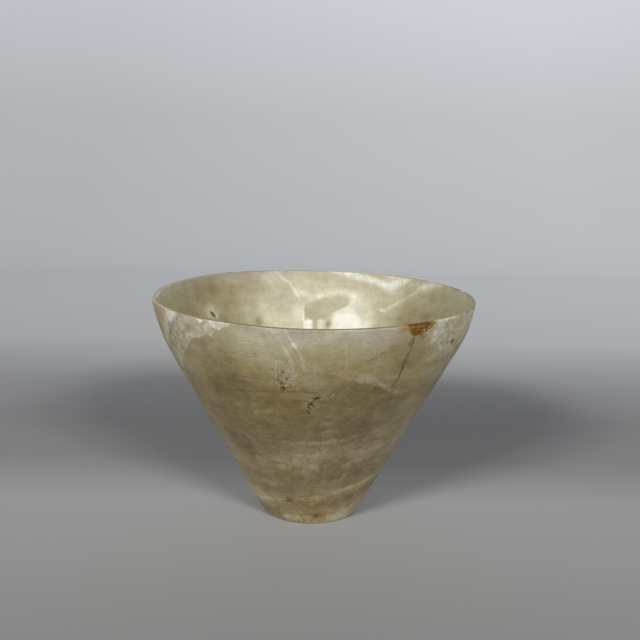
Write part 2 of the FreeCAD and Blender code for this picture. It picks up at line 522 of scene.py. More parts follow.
def body_mesh():
    """The stone as rings round the axis: up the outside, over the lip and down the inside."""
    section, lip_start, lip_end = body_section()
    turns = column_angles()
    angle, radius, level = body_places(section, lip_start, lip_end, turns)
    middles = np.array([[0.0, 0.0, 0.0], [0.0, 0.0, floor_thickness]])
    points = np.concatenate([around(np.radians(angle), radius, level), middles]) * mm
    mesh = bpy.data.meshes.new("stone_cup")
    mesh.from_pydata(points.tolist(), [], body_faces(len(section), len(turns)))
    return mesh


# Chip in the rim and crack below it, as the solid has them
chip_angle = 37.3
chip_width = 12.0
chip_depth = 4.1
chip_narrowing_share = 0.12
# Places on the chip's edge, across and down, as shares of its width and depth
chip_left_shares = (0.0, 0.06)
chip_corner_shares = (0.08, 0.56)
chip_tip_shares = (0.235, 1.0)
chip_belly_shares = (0.61, 0.77)
chip_right_shares = (1.0, 0.05)
fill_crown = 0.15
crack_angle = 33.9
crack_length = 18.2
crack_width = 0.8
crack_depth = 1.4
# The crack's middle line, sideways and down, and its width there, as shares of its length and width
crack_path_shares = (
    (0.027, 0.0), (0.06, 0.066), (0.038, 0.104), (0.032, 0.187), (0.016, 0.264), (-0.016, 0.335),
    (-0.027, 0.407), (-0.037, 0.516), (-0.022, 0.615), (-0.025, 0.736), (-0.04, 0.824), (-0.049, 0.90),
    (-0.064, 0.99),
)
crack_width_shares = (0.6, 0.55, 0.6, 0.65, 0.7, 0.75, 0.8, 0.95, 1.2, 1.0, 0.75, 0.6, 0.4)
crack_steps = 60
# The blade starts this far above the chip's tip, wavers sideways, and gets thinner in places
crack_overlap = 0.4
crack_jitter, jitter_window = 0.1, 3
crack_thinning_shares = (0.65, 1.0)
crack_seed = 3
# How far the seam's face lies below the stone's, and how far solids that cut reach past what they cut
seam_recess = 0.05
overrun = 3.0

# Fine slabs that the fill and the seam are cut from: angles and lowest level, the spacing of their points,
# and how far below them their lines are still followed
fill_slab = (27.0, 50.0, 75.0)
seam_slab = (28.0, 40.0, 56.0)
slab_gap = 0.16
slab_margin = 4.0
# Lumps in the fill's faces: two lengths, the height of the long ones, how many times lower the short ones
# are, and the seed
long_lumps, short_lumps = 1.8, 0.8
fill_lumps, lump_ratio, lump_seed = 0.05, 3, 41
# Faces that meet at more than this angle keep a sharp edge
sharp_angle = 32.0


def placed(angle, radius, sideways, level):
    """A point beside the radial line at this angle from the front."""
    turn = math.radians(angle)
    outwards = np.array([math.sin(turn), -math.cos(turn), 0.0])
    right = np.array([math.cos(turn), math.sin(turn), 0.0])
    return outwards * radius + right * sideways + np.array([0.0, 0.0, level])


def bend(start, middle, end, steps=14):
    """Points of the circle's arc through three points of a flat outline."""
    start, middle, end = (np.array(point, float) for point in (start, middle, end))
    rows = np.array([middle - start, end - start]) * 2
    sums = np.array([middle @ middle - start @ start, end @ end - start @ start])
    centre = np.linalg.solve(rows, sums)
    radius = np.hypot(*(start - centre))
    turns = np.unwrap([math.atan2(*(point - centre)[::-1]) for point in (start, middle, end)])
    spots = np.linspace(turns[0], turns[2], steps)
    return [centre + at(math.cos(turn), math.sin(turn)) * radius for turn in spots]


def solid_mesh(name, points, faces):
    mesh = bpy.data.meshes.new(name)
    mesh.from_pydata((np.array(points) * mm).tolist(), [], faces)
    build = bmesh.new()
    build.from_mesh(mesh)
    bmesh.ops.recalc_face_normals(build, faces=build.faces)
    build.to_mesh(mesh)
    build.free()
    return mesh


def prism(name, near, far):
    """A closed solid between two outlines with as many points each."""
    count = len(near)
    faces = [tuple(range(count))[::-1], tuple(range(count, 2 * count))]
    for i in range(count):
        beside = (i + 1) % count
        faces.append((i, beside, count + beside, count + i))
    return solid_mesh(name, list(near) + list(far), faces)


def chip_edge(size_share=1.0):
    """The chip's edge, as places sideways and up."""

    def corner(shares):
        return (shares[0] - 0.5) * chip_width * size_share, height - shares[1] * chip_depth * size_share

    left, right = corner(chip_left_shares), corner(chip_right_shares)
    tip = corner(chip_tip_shares)
    outline = bend(left, corner(chip_corner_shares), tip) + bend(tip, corner(chip_belly_shares), right)[1:]
    return outline + [at(right[0], height + overrun), at(left[0], height + overrun)]


def chip_outline(beyond):
    """The chip's edge on an upright plane this far outside the rim. It narrows inwards."""
    outline = chip_edge(1 + chip_narrowing_share * beyond / lip_thickness)
    return [placed(chip_angle, rim_radius + beyond, sideways, level) for sideways, level in outline]


def chip_cutter():
    return prism("chip", chip_outline(overrun), chip_outline(-lip_thickness - overrun))


def crack_cutter():
    """A thin crooked blade below the chip's tip, wavering a little more than a plain one would."""
    draw = np.random.default_rng(crack_seed)
    top_level = height - chip_depth
    shares = np.linspace(0.0, 1.0, crack_steps)
    across, down = np.array(crack_path_shares).T
    middles = np.interp(shares, down, across) * crack_length
    widths = np.interp(shares, down, crack_width_shares) * crack_width
    jitter = draw.normal(0, crack_jitter, crack_steps + jitter_window - 1)
    middles += np.convolve(jitter, np.ones(jitter_window) / jitter_window, "valid")
    widths *= draw.uniform(*crack_thinning_shares, crack_steps)
    levels = top_level + crack_overlap - shares * (crack_length + crack_overlap)
    sides = list(zip(middles - widths / 2, levels)) + list(zip(middles + widths / 2, levels))[::-1]
    near = [placed(crack_angle, rim_radius + overrun, *side) for side in sides]
    away = placed(crack_angle, rim_radius - foot_radius, 0, 0)
    return prism("crack", near, [point - away for point in near])


def slab(name, span, outer_offset, inner_offset, lumps=0.0):
    """Part of the wall as a fine closed solid, whose two faces lie this far outside the wall's own."""
    first, last, lowest = span
    outer, inner = np.array(outer_line()), np.array(inner_line())[::-1]
    if inner_offset < -lip_thickness / 2:
        inner = outer
    rows = int((height - lowest) / slab_gap)
    turns = np.radians(np.arange(first, last, math.degrees(slab_gap / rim_radius)))
    section = []
    for line, offset, order in ((outer, outer_offset, 1), (inner, inner_offset, -1)):
        line = line[line[:, 1] > lowest - slab_margin]
        levels = np.linspace(lowest, line[-1][1], rows)
        radii = np.interp(levels, line[:, 1], line[:, 0])
        way = np.stack([np.gradient(radii), np.gradient(levels)], axis=1)
        way /= np.hypot(*way.T)[:, None]
        face = np.stack([radii, levels], axis=1) + np.stack([way[:, 1], -way[:, 0]], axis=1) * offset
        section += list(face[::order])
        if order == 1 and inner is not outer:
            section += list(lip_line(face[-1], inner[-1], height + outer_offset))
    section = np.array(section)
    count, columns = len(section), len(turns)
    radius, level = section.repeat(columns, axis=0).T
    turn = np.tile(turns, count)
    radius = radius + waves(turn * rim_radius, level, long_lumps, lumps, lump_seed)
    radius = radius + waves(turn * rim_radius, level, short_lumps, lumps / lump_ratio, lump_seed + 1)
    faces = []
    for row in range(count):
        low, high = row * columns, (row + 1) % count * columns
        faces += [(low + i, low + i + 1, high + i + 1, high + i) for i in range(columns - 1)]
    faces.append(tuple(row * columns for row in range(count)))
    faces.append(tuple(row * columns + columns - 1 for row in range(count))[::-1])
    return solid_mesh(name, around(turn, radius, level), faces)


def linked(name, data):
    piece = bpy.data.objects.new(name, data)
    bpy.context.scene.collection.objects.link(piece)
    return piece


def combined(mesh, other, operation):
    """The mesh after another one is cut from it, or what both share."""
    piece = linked(mesh.name, mesh)
    tool = linked(other.name, other)
    step = piece.modifiers.new("combine", "BOOLEAN")
    step.operation = operation
    step.solver = "EXACT"
    step.object = tool
    made = bpy.data.meshes.new_from_object(piece.evaluated_get(bpy.context.evaluated_depsgraph_get()))
    made.name = mesh.name
    for thing in (piece, tool):
        bpy.data.objects.remove(thing)
    return made


def smoothed(mesh):
    mesh.polygons.foreach_set("use_smooth", [True] * len(mesh.polygons))
    mesh.set_sharp_from_angle(angle=math.radians(sharp_angle))
    return mesh


def stone_mesh():
    groove = combined(slab("groove", seam_slab, overrun / 2, -crack_depth), crack_cutter(), "INTERSECT")
    body = combined(body_mesh(), chip_cutter(), "DIFFERENCE")
    return smoothed(combined(body, groove, "DIFFERENCE"))


def fill_mesh():
    inside = slab("amber_fill", fill_slab, fill_crown, 0.0, fill_lumps)
    return smoothed(combined(inside, chip_cutter(), "INTERSECT"))


def seam_mesh():
    inside = slab("crack_seam", seam_slab, -seam_recess, -crack_depth)
    return smoothed(combined(inside, crack_cutter(), "INTERSECT"))


def new_piece(name, mesh, replaced):
    mesh.name = name
    piece = linked(name, mesh)
    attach(piece, "root")
    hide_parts(replaced)
    return piece


# The stone's tone, from 0 for black to 1 for white: at each level outside, where its rise towards the thin
# top is partly painted glow of light through the wall, and at each angle inside
outer_tones = (
    (0, 0.56), (3, 0.55), (6, 0.52), (9, 0.475), (12, 0.48), (15, 0.48), (20, 0.455), (25, 0.46),
    (30, 0.485), (35, 0.455), (40, 0.43), (50, 0.445), (55, 0.455), (58, 0.482), (61, 0.528), (64, 0.543),
    (67, 0.55), (70, 0.56), (73, 0.575), (76, 0.595), (80.5, 0.625),
)
inner_tones = (
    (-180, 0.69), (-174, 0.69), (-168, 0.645), (-160, 0.655), (-152, 0.60), (-144, 0.595), (-136, 0.545),
    (-128, 0.575), (-104, 0.575), (0, 0.60), (104, 0.58), (120, 0.575), (128, 0.595), (136, 0.57),
    (144, 0.645), (152, 0.685), (168, 0.68),
)
# The bowl's floor has one tone, which passes into the wall's between these levels
inner_floor_tone = 0.60
inner_floor_levels = (20.0, 50.0)
# What the tone gains towards the inner rim, at each angle, and where: painted light and shade that follow how
# the lamps fall on the inner rim
inner_rim_levels = (74.0, 79.5)
inner_rim_painted_light = (
    (-180, -0.02), (-160, -0.02), (-144, 0), (-136, 0.05), (-120, 0.05), (-104, 0.08), (0, 0.08),
    (112, 0.07), (120, 0.03), (128, 0.07), (136, 0.09), (144, 0.07), (152, 0), (160, -0.02),
)
# The lip's tone, at each angle, between these shares of its thickness and these drops below the top: partly
# the stone's colour and partly painted shade on the lamp-lit top, darkest at the front
lip_edge_shares = (0.75, 0.2)
lip_drops = (1.0, 0.4)
lip_tones_with_painted_shade = (
    (-180, 0.64), (-166, 0.62), (-156, 0.48), (-120, 0.50), (-104, 0.58), (-96, 0.60), (-88, 0.66),
    (-58, 0.66), (-48, 0.50), (-28, 0.42), (28, 0.40), (42, 0.45), (45, 0.80), (52, 0.74), (56, 0.60),
    (64, 0.50), (90, 0.50), (120, 0.47), (142, 0.48), (150, 0.62), (158, 0.75), (172, 0.75),
)

# Under the foot the patches fade out between these radii
underside_radii = (8.0, 15.0)

# The layers of the stone rise to the right, low on the cup: how steeply, and where that fades in and out
layer_tilt = 0.23
tilt_starts = (4.0, 10.0)
tilt_ends = (20.0, 45.0)
# How uneven painted edges are, with the seed, and how soft the edges of the leaf and the stain are
paint_wobble, paint_seed = 0.2, 51
edge_softness = 0.8
# Painted shade in the pits and the slot: a pit's shade reaches a little past it, and is full in pits deeper
# than this
shade_reach_share = 1.1
slot_shade_shares = (1.1, 1.05)
slot_shade = 1.6
full_shade_depth = 0.25
# How thin the ends of a vein get, how much of its length they take, and the softness where none is near
vein_tip_share, vein_taper_share = 0.35, 1 / 6
plain_softness = 0.3

# Veins and thin lines outside: tone added, width, softness of the edge, then places as angle and level
outer_lines = (
    (-0.18, 1.6, 0.6, ((-70, 79), (-69, 76), (-68.6, 73), (-68.8, 69))),
    # This line along the lip's outer edge is a painted highlight
    (0.10, 0.6, 0.4, ((21, 80.1), (25, 80.2), (29.4, 80.2))),
    (0.07, 0.8, 0.5, ((-7.5, 81), (-7, 78.2), (-6, 76.8), (-5.4, 75.6))),
    (0.14, 1.3, 0.6, ((-5.9, 76.2), (-5.3, 75.2), (-4.2, 73.8))),
    (0.085, 0.8, 0.6, ((-4.2, 73.9), (-3, 71.4), (-2.4, 68.6), (-2.2, 66.8))),
    (0.04, 0.8, 0.6, ((-12.3, 81), (-11.4, 79), (-9.5, 76.8), (-8.4, 74.6))),
    (0.10, 1.4, 1, ((-8.8, 74.8), (-7.9, 73.4), (-6.9, 71.6))),
    (0.08, 1.1, 0.8, ((-6.9, 71.6), (-6.2, 69.6), (-5.6, 67), (-5.2, 65), (-7, 62.4))),
    (0.035, 0.8, 0.5, ((10.9, 76), (11.5, 70), (12.2, 64.5))),
    (-0.07, 0.6, 0.35, ((-40, 55.8), (-22, 57.3), (-10, 58.6), (3, 58.2))),
    (-0.055, 0.55, 0.35, ((-38, 57.9), (-30, 58.4), (-20, 59.2), (-13, 59.4))),
    (-0.05, 0.55, 0.35, ((-36, 60.7), (-30, 60.4), (-20, 60.3))),
    (-0.05, 0.4, 0.3, ((-33, 62.8), (-26, 62.4), (-18, 62.6))),
    (-0.055, 0.5, 0.35, ((-1, 65.6), (5.6, 65.1), (9, 64.5), (13, 63.4))),
    (-0.22, 1.1, 0.35, ((1.4, 55.4), (2.6, 56), (3.8, 56.5))),
    (0.035, 0.6, 0.5, ((-27.5, 72.4), (-24, 73.9), (-20, 75), (-15.5, 75.6))),
    (0.035, 0.6, 0.5, ((-26.8, 70.9), (-23.4, 72.6), (-19.4, 73.8), (-15, 74.4))),
    (0.03, 0.6, 0.5, ((-25.6, 69.6), (-22.4, 71.2), (-18.4, 72.5), (-14.6, 73))),
    (0.035, 0.6, 0.5, ((-4.2, 76), (-1, 77.2), (3, 77.6), (8, 77), (11, 76))),
    (0.03, 0.6, 0.5, ((-3.2, 74.8), (0, 75.9), (3.6, 76.2), (8, 75.6))),
    (0.05, 0.8, 0.6, ((24.4, 61.2), (27, 59.9), (29.4, 58.8))),
    (0.10, 0.6, 0.4, ((-30, 80.3), (-24, 80.2), (-17, 80.1), (-10.5, 80))),
    (0.11, 1.7, 0.8, ((-70, 9), (-54, 8.4), (-35.6, 9.8), (-21, 11))),
    (0.08, 1.7, 1, ((-7, 12.1), (-2.2, 12.4), (14.4, 13.9))),
    (0.14, 1.8, 0.8, ((14.4, 13.9), (25.6, 15.4), (42.2, 16.9), (60, 18.6))),
    (0.05, 1.3, 0.8, ((-20, 37.4), (0, 37.4), (14, 38.2), (26, 40.6), (38, 42), (52, 46.5))),
    (0.03, 0.9, 0.5, ((20, 34), (34, 37.4), (48, 40))),
    (-0.11, 0.7, 0.35, ((18.9, 69.6), (21, 70.2), (22.4, 70.4))),
    (-0.11, 0.7, 0.35, ((22.5, 71.8), (24.9, 72))),
    # This line is a painted shadow under the pale wedge's lower edge
    (-0.07, 1.6, 0.8, ((-48.4, 79.2), (-51.4, 76.8), (-54.4, 75), (-57, 73.2), (-60, 70.2))),
    (-0.05, 2, 1, ((59.5, 70.8), (65, 67.8), (71.5, 65.3))),
    (0.09, 0.8, 0.4, ((48.4, 71.6), (49.6, 70.6), (50.8, 68.9))),
    (-0.035, 1.4, 1, ((34.6, 75.4), (34.2, 71.6), (33, 67), (33, 62), (32.2, 58))),
)

# Two places in the pale shell's rim: its tip, and the wedge at the far left
shell_tip = ((-25.2, 83), (-25.6, 80), (-27.4, 79.2), (-30.4, 78.2), (-34, 78.8), (-34.5, 83))
left_wedge = ((-49.6, 83), (-49.6, 80), (-52, 77.9), (-54.6, 76.4), (-57, 76), (-57.6, 78), (-56.8, 83))

# Soft patches of the outer face: tone added, softness of the edge, outline
outer_patches = (
    (-0.02, 8, ((-44, 64), (-14, 63), (-8, 56), (-16, 49), (-40, 50))),
    (-0.05, 6, ((-40, 73), (-26, 71), (-25, 56), (-42, 54))),
    (0.03, 6, ((-24, 78), (-12, 77), (-10, 67), (-22, 66))),
    (0.04, 4, ((-28, 32), (-12, 34), (4, 32), (4, 26), (-20, 27))),
    (0.03, 4, ((-14, 38), (30, 40), (34, 31), (-4, 31))),
    (-0.05, 4, ((12, 46), (28, 47), (30, 39), (14, 38))),
    (-0.04, 4, ((6, 27), (20, 29), (22, 22), (6, 21))),
    (-0.055, 4, ((-54, 40), (-36, 38), (-30, 29), (-46, 27))),
    (0.05, 4, ((54, 46), (72, 50), (72, 34), (54, 32))),
    (0.03, 4, ((-24, 52), (-12, 53), (-12, 46), (-24, 46))),
    (-0.04, 3, ((26, 23), (36, 24), (36, 18), (26, 17))),
    (0.045, 3, ((22, 33), (32, 34), (32, 27), (22, 26))),
    (0.03, 12, ((-56, 50), (-62, 30), (-64, 4), (-90, 4), (-90, 50))),
    (-0.035, 8, ((-57, 83), (-58, 68), (-64, 54), (-90, 54), (-90, 83))),
    (0.03, 3, ((-28, 79), (-40, 79), (-42, 74), (-31, 75.6))),
    (-0.055, 5, ((26, 79), (31, 80.5), (36, 76.4), (41, 74), (41, 65), (30, 64), (25, 72))),
    (0.045, 3, ((49, 78), (62, 77), (66, 68), (46, 66.6), (46, 72))),
    (0.09, 4, ((-66, 14), (-48, 12), (-38, 11), (-38, 6.5), (-66, 6.5))),
    (-0.05, 3, ((38, 13), (66, 15.5), (66, 7), (4, 7), (4, 10.5), (20, 12))),
    (-0.12, 3, ((-64, 5.5), (-32, 5.5), (-30, 0.5), (-64, 0.5))),
    (0.08, 2, ((42.6, 75), (43.6, 83), (49, 83), (48, 77), (46, 73.4), (43, 72.6))),
    (0.03, 3, ((62, 81), (80, 81), (74, 73), (62, 74))),
    (0.03, 5, ((-64, 83), (-61, 76), (-54, 74), (-50, 77), (-44, 78), (-40, 83))),
    # The bright band low at the right of the foot is partly a painted lamp glint on its rounded edge
    (0.10, 3, ((20, 4), (34, 5), (46, 6.6), (46, 0.5), (20, 0.5))),
    (-0.04, 4, ((50, 28), (72, 28), (72, 10), (50, 10))),
    (-0.025, 5, ((12, 41), (32, 43), (32, 30), (12, 29))),
    (-0.08, 3, ((1, 5), (16, 6), (17, 1.5), (1, 1.5))),
    (0.07, 1.4, shell_tip),
    (0.15, 0.9, left_wedge),
    (0.11, 2, ((-57, 77), (-57.6, 74.4), (-61, 71), (-65, 66), (-68, 67), (-64, 72.8), (-60.6, 77))),
    (0.05, 1.6, ((16.6, 65), (22, 64.6), (24.6, 62.4), (21.4, 61.8), (17.2, 62.8))),
    (0.05, 1.2, ((21.2, 60.5), (23.6, 60.2), (23.4, 58.8), (21.6, 59))),
)
# Round spots: tone added, angle, level, width, height
outer_spots = (
    (-0.10, -9.9, 59.6, 3.6, 2.6), (-0.07, -10.6, 61.8, 2.6, 2), (-0.06, -9.4, 65.9, 2.2, 2.4),
    (0.06, -11, 69.2, 3.4, 2.6), (0.05, -6.6, 61.6, 3.4, 2.2), (0.05, -12.6, 63.4, 2.2, 2.6),
    (-0.09, 0.4, 53.2, 2.6, 3), (-0.07, -0.8, 51, 2, 2.4), (0.06, -2.4, 53, 1.8, 3),
    (-0.13, 38, 76.2, 5, 2.4), (-0.04, -42, 76, 6, 3), (-0.06, 30, 79.2, 4, 2.6), (0.05, -63, 78.4, 6, 4),
    (0.06, -50, 76, 8, 4), (-0.04, -50, 70, 6, 4), (0.04, -58, 70, 6, 5), (-0.04, -18, 67, 6, 4),
    (0.05, 46, 67, 6, 4), (0.05, 38.5, 55.4, 6, 3), (0.04, -26, 58, 6, 3), (0.05, 38, 15, 8, 3),
    (-0.035, -10, 66.8, 5, 2.6), (0.04, 30, 55, 6, 3), (0.04, 62, 40, 8, 8), (0.04, 8, 12.8, 10, 3),
    # The bright spots on the foot at -13, -23.7 and 31 are partly painted lamp glints on its rounded edge
    (0.04, 38, 6, 6, 3), (0.04, -18, 3, 5, 2.6), (0.07, -17.5, 50, 4.5, 3), (0.10, -13, 2.8, 3.6, 1.8),
    (0.07, 31, 3, 9, 2.2), (-0.16, 6.7, 3.6, 2.4, 2.2), (-0.25, -17, 11.2, 4, 2),
    (0.14, -23.7, 2.9, 4.4, 2), (0.06, -24, 48.5, 3.6, 3), (0.09, 35.2, 55.8, 3.4, 2),
    (-0.12, 34.2, 75.6, 1.6, 1.6), (-0.12, 47, 20.5, 2.2, 1.4), (0.3, 34.8, 76.5, 0.8, 0.7),
    (-0.08, 33.6, 74.4, 1.8, 3.6), (-0.26, 57.3, 71.2, 3.6, 2.8), (-0.12, 60.5, 69, 3, 2.4),
    (-0.08, 49, 75.6, 2.6, 1.6), (-0.12, 52.4, 74, 2.6, 1.6), (-0.12, 56, 74.5, 3.6, 1.3),
    (-0.12, 49.6, 78.1, 2, 1.2), (-0.09, 52.4, 79, 1.8, 1.4), (-0.07, 47.7, 59, 3, 1.8),
    (-0.08, 48, 22, 4, 2.4), (0.06, -30.5, 28.5, 8, 5), (0.05, 38, 33, 6, 4), (0.06, 24, 22, 3, 3),
    # The spot at -37.6, 79.9 is a painted glint on a small crystal
    (-0.05, 4, 44, 5, 3), (0.5, -37.6, 79.9, 1.7, 1.1), (0.10, -51.8, 79.8, 5, 2.4),
    (-0.10, -46.4, 75.4, 2.6, 1), (-0.10, -30.8, 71, 3, 1), (-0.08, -28, 67.4, 1, 1.2),
)

# The pale shell at the left, which has a sharp uneven edge and fades out at the back between two angles
shell_outline = (
    (-25.3, 83), (-25.6, 80.1), (-27.2, 79.1), (-29.6, 78), (-31.5, 77.2), (-32.2, 76.3), (-34, 75.5),
    (-35.4, 74.8), (-39.2, 73.6), (-42.4, 73.2), (-45.2, 71.1), (-47.4, 69.6), (-48.6, 68.1), (-50.6, 67),
    (-53.2, 66), (-54.6, 64.4), (-58.6, 60.4), (-64, 53), (-72, 44), (-96, 40), (-124, 44), (-130, 84),
)
shell_reach = (-116.0, -88.0)

# The sharp top of the darker stone at the right, and where it fades in and out
ledge_line = (
    (3, 65.2), (9, 64.3), (13, 63.2), (15.2, 62.5), (20, 61.3), (22, 61), (25.4, 59.6), (30.5, 57.6),
    (34, 55.9),
)
ledge_reach = ((2.0, 11.0), (31.0, 44.0))

# The broken, whiter stone at the right of the fill
broken_outline = (
    (42.9, 83), (43.2, 80.4), (44.2, 78.6), (42.9, 76.6), (42, 75.2), (42.4, 73.5), (44, 72.6),
    (45.6, 72.7), (46.6, 71.3), (49, 70.2), (50.4, 69), (53.4, 69.4), (57, 68.4), (62, 66), (72, 68),
    (84, 83),
)

# Whiter and greyer stone, and a pale band below the front rim that is partly painted glow and sheen:
# strength, softness, outline
outer_pale = (
    (0.5, 1.6, shell_tip),
    (0.55, 3, ((-35, 83), (-36, 78), (-42, 76.6), (-49, 78), (-50, 83))),
    (0.15, 1.6, left_wedge),
    # The pale band below the front rim is partly painted glow and sheen of the thin top
    (0.65, 5, ((-24, 84), (-24, 77), (-8, 76), (12, 75), (30, 74), (31, 84))),
    (0.4, 2, ((42.4, 74), (42, 76), (43.2, 83), (52, 83), (50, 76), (46, 71))),
    (0.1, 4, ((46, 74), (50, 83), (66, 83), (58, 72), (50, 69))),
    (0.45, 2, ((16.6, 65), (22, 64.6), (24.6, 62.4), (28.4, 59.6), (27, 58.8), (21, 60.4))),
)
# How pale the inner rim is, at each angle
inner_rim_pales = ((-180, 0.4), (-160, 0.75), (-120, 0.8), (0, 0.6), (130, 0), (165, 0.1))

# Speckled crystals round the pits, and brown speckles: strength, softness, outline
outer_crystals = (
    (1, 3, ((-13.4, 66.5), (-10, 70), (-6.4, 68), (-4.6, 65), (-6.4, 60), (-9, 57.5), (-13, 60))),
    (0.9, 3, ((-2, 57), (3, 59), (12, 59.6), (12.4, 57), (5, 55), (2, 50), (-3, 48.6))),
    (0.6, 1.6, ((17, 65), (24, 63.6), (30, 60), (37, 56.4), (35, 54.6), (28, 58), (22, 60))),
    (0.5, 5, ((44, 71), (46, 60), (58, 56), (66, 66))),
    (0.4, 2, ((-46, 12), (-30, 13.5), (-30, 8), (-50, 6.5))),
    (0.35, 6, ((-34, 34), (40, 42), (44, 24), (-24, 24))),
)
outer_speckles = (
    (1, 2.5, ((-52, 78), (-44, 77.6), (-36, 77), (-39, 75), (-44, 74), (-52, 71), (-58, 68), (-60, 72))),
    (0.9, 2.5, ((47, 80), (60, 79), (62, 70), (48, 71))),
)

# Yellower places, with pinkish grey ones below 0: strength, softness, outline
outer_hues = (
    (0.8, 9, ((-46, 68), (-20, 70), (-4, 66), (4, 52), (-10, 42), (-42, 42), (-50, 56))),
    (0.5, 12, ((-80, 70), (-46, 70), (-38, 50), (-38, 30), (-38, 12), (-80, 12))),
    (0.45, 12, ((50, 72), (80, 74), (80, 44), (52, 40), (40, 56), (36, 66))),
    (0.6, 7, ((0, 68), (22, 70), (42, 80), (48, 60), (40, 50), (6, 50))),
    (0.9, 4, ((-64, 8), (-30, 7), (-30, 0.5), (-64, 0.5))),
    (0.5, 6, ((-28, 15), (62, 22), (62, 0.5), (-28, 0.5))),
    (-0.8, 3, ((22, 4.6), (46, 6.6), (46, 0.5), (22, 0.5))),
    (-0.25, 3, ((-34, 77), (-52, 76), (-52, 67), (-44, 72), (-34, 75))),
    (-0.4, 3, ((46.4, 77.2), (50, 77), (50, 74.6), (46.6, 74.6))),
)
outer_warm = (
    (1.8, 2, ((-59.4, 83), (-59.4, 79.4), (-61.8, 75.8), (-64.4, 73), (-66.4, 70.4), (-70, 65), (-80, 64),
              (-104, 72), (-116, 83))),
    (0.45, 2, ((-49.6, 83), (-50, 79.6), (-57, 74), (-66, 67), (-68, 68.4), (-60.4, 77), (-58, 83))),
    (0.6, 2, ((28.6, 80.2), (31.6, 80.2), (34.2, 75.4), (33, 66), (30.6, 72))),
    (0.7, 4, ((54, 83), (53, 75), (56, 68), (72, 62), (90, 70), (100, 83))),
    (0.45, 9, ((-70, 60), (-24, 44), (-10, 16), (-10, 0), (-70, 0))),
    (0.6, 9, ((52, 44), (68, 44), (68, 0), (-10, 0), (-6, 12), (26, 20))),
    (0.5, 2, ((15, 62), (20.6, 61), (21.6, 58), (16, 57.6))),
)
inner_warm = ((0.4, 8, ((-134, 81), (-95, 81), (-95, 55), (-128, 60))),)
stained_rim = ((27, 82), (31.8, 82), (32.4, 78.6), (31.4, 78.6), (29.6, 80), (27.2, 80.2))

# Growth lines: the middle of their arcs as angle and level, and the patches where they show
growth_middle = (-14.0, 50.0)
growth_patches = (
    (1, 4, ((-31, 70), (-26, 77), (-12, 78), (-13, 71), (-22, 67))),
    (0.8, 4, ((-6, 74), (-4, 79), (10, 79), (14, 75), (4, 72))),
    (0.4, 6, ((-34, 62), (-14, 62), (-12, 54), (-34, 54))),
)

# Marks on the inner face, in the same forms
inner_lines = (
    (0.10, 1.3, 0.7, ((-163, 81), (-165.2, 78.3), (-167.2, 76.9), (-169.2, 75.5), (-170.6, 73.4),
                      (-172, 71.2), (-173.2, 69.8))),
    (0.04, 2.2, 1.6, ((-156, 80.5), (-159.5, 76.5), (-161.4, 74.4))),
    (0.10, 0.6, 0.4, ((-175.2, 66), (-175.2, 62), (-175.2, 54))),
    (0.09, 2.4, 1.8, ((-178, 69), (177.3, 70.8), (173, 71.7), (169.5, 72.3), (165.6, 72.5), (162.3, 71.2),
                      (161.6, 69))),
    (0.15, 2.8, 1.4, ((172, 80.3), (168, 79.7), (163, 79.3), (158.4, 78.6), (153.3, 77.7), (149, 76.5),
                      (146.6, 76), (144.4, 76.7), (140.7, 78.3), (137.5, 79.8), (135, 81.4))),
    (0.09, 1.3, 1, ((128.3, 77.9), (132.8, 74.8), (140.6, 70.1), (146, 66.7), (149, 67.2))),
    (0.15, 3, 1.8, ((116, 82), (124, 79.4), (130.5, 77.2))),
)
inner_patches = (
    (-0.06, 4, ((-122, 79), (-134, 79), (-134, 73), (-122, 73))),
    (0.05, 4, ((-170, 67), (-178, 67), (176, 67), (176, 61), (-170, 61))),
    (-0.06, 5, ((134, 70), (118, 70), (118, 60), (136, 60))),
    (0.07, 4, ((173, 54), (172, 61), (171, 64.5), (164.5, 68), (162.5, 73), (157, 73), (153, 68), (150, 62),
               (152, 54), (162, 50))),
    (0.10, 3, ((171.4, 54), (171, 61.5), (170.4, 63.6), (166.4, 66.2), (163.6, 67.2), (160.5, 66),
               (157, 62), (158, 56), (164, 52))),
    (0.05, 4, ((160, 54), (158, 64), (150, 62), (148, 54))),
    (0.13, 0.8, ((-175.7, 54), (-175.9, 60.4), (-177.5, 61.6), (-179.2, 61.1), (-179.5, 54))),
    (0.08, 0.9, ((178, 54), (177.9, 60.6), (176.5, 61.6), (174.8, 61), (174.8, 54))),
    (0.07, 1.8, ((-170.6, 73.6), (-172.8, 70.8), (-176.8, 69.8), (-180, 70.6), (-176, 72.6))),
    (0.035, 3, ((148, 78.2), (146, 82), (132, 82), (130, 74), (150, 73))),
    (0.04, 4, ((-146, 68), (-158, 68), (-158, 62), (-146, 62))),
    (-0.04, 4, ((170, 76.5), (157, 77), (156, 71.5), (168, 71.5))),
    (-0.035, 3, ((-164, 75), (-171, 75), (-171, 70), (-164, 70))),
    (0.03, 2.5, ((154, 79), (150, 82), (140, 82), (143, 78.4), (147, 77.4))),
    (0.03, 4, ((148, 76), (138, 76), (136, 69), (148, 69))),
    (-0.05, 2.5, ((143, 79.6), (136, 83), (130, 81), (139, 77.6))),
    (0.06, 6, ((-154, 69), (-172, 67), (-180, 63), (-180, 54), (-154, 54))),
)
inner_spots = (
    (-0.12, -152.6, 61.4, 3.8, 4.6), (-0.20, 172.5, 59.9, 2.4, 4.4), (0.08, 177.4, 70.5, 2.6, 2.4),
    (-0.05, 150.8, 79.4, 4.4, 1.8), (0.08, 165, 80.4, 14, 1.6), (0.09, 147, 66.7, 1.6, 1.2),
    (0.07, 152, 65, 5, 4), (0.05, 128, 76, 4, 3), (0.04, -166.4, 77.4, 2.4, 1.8),
)
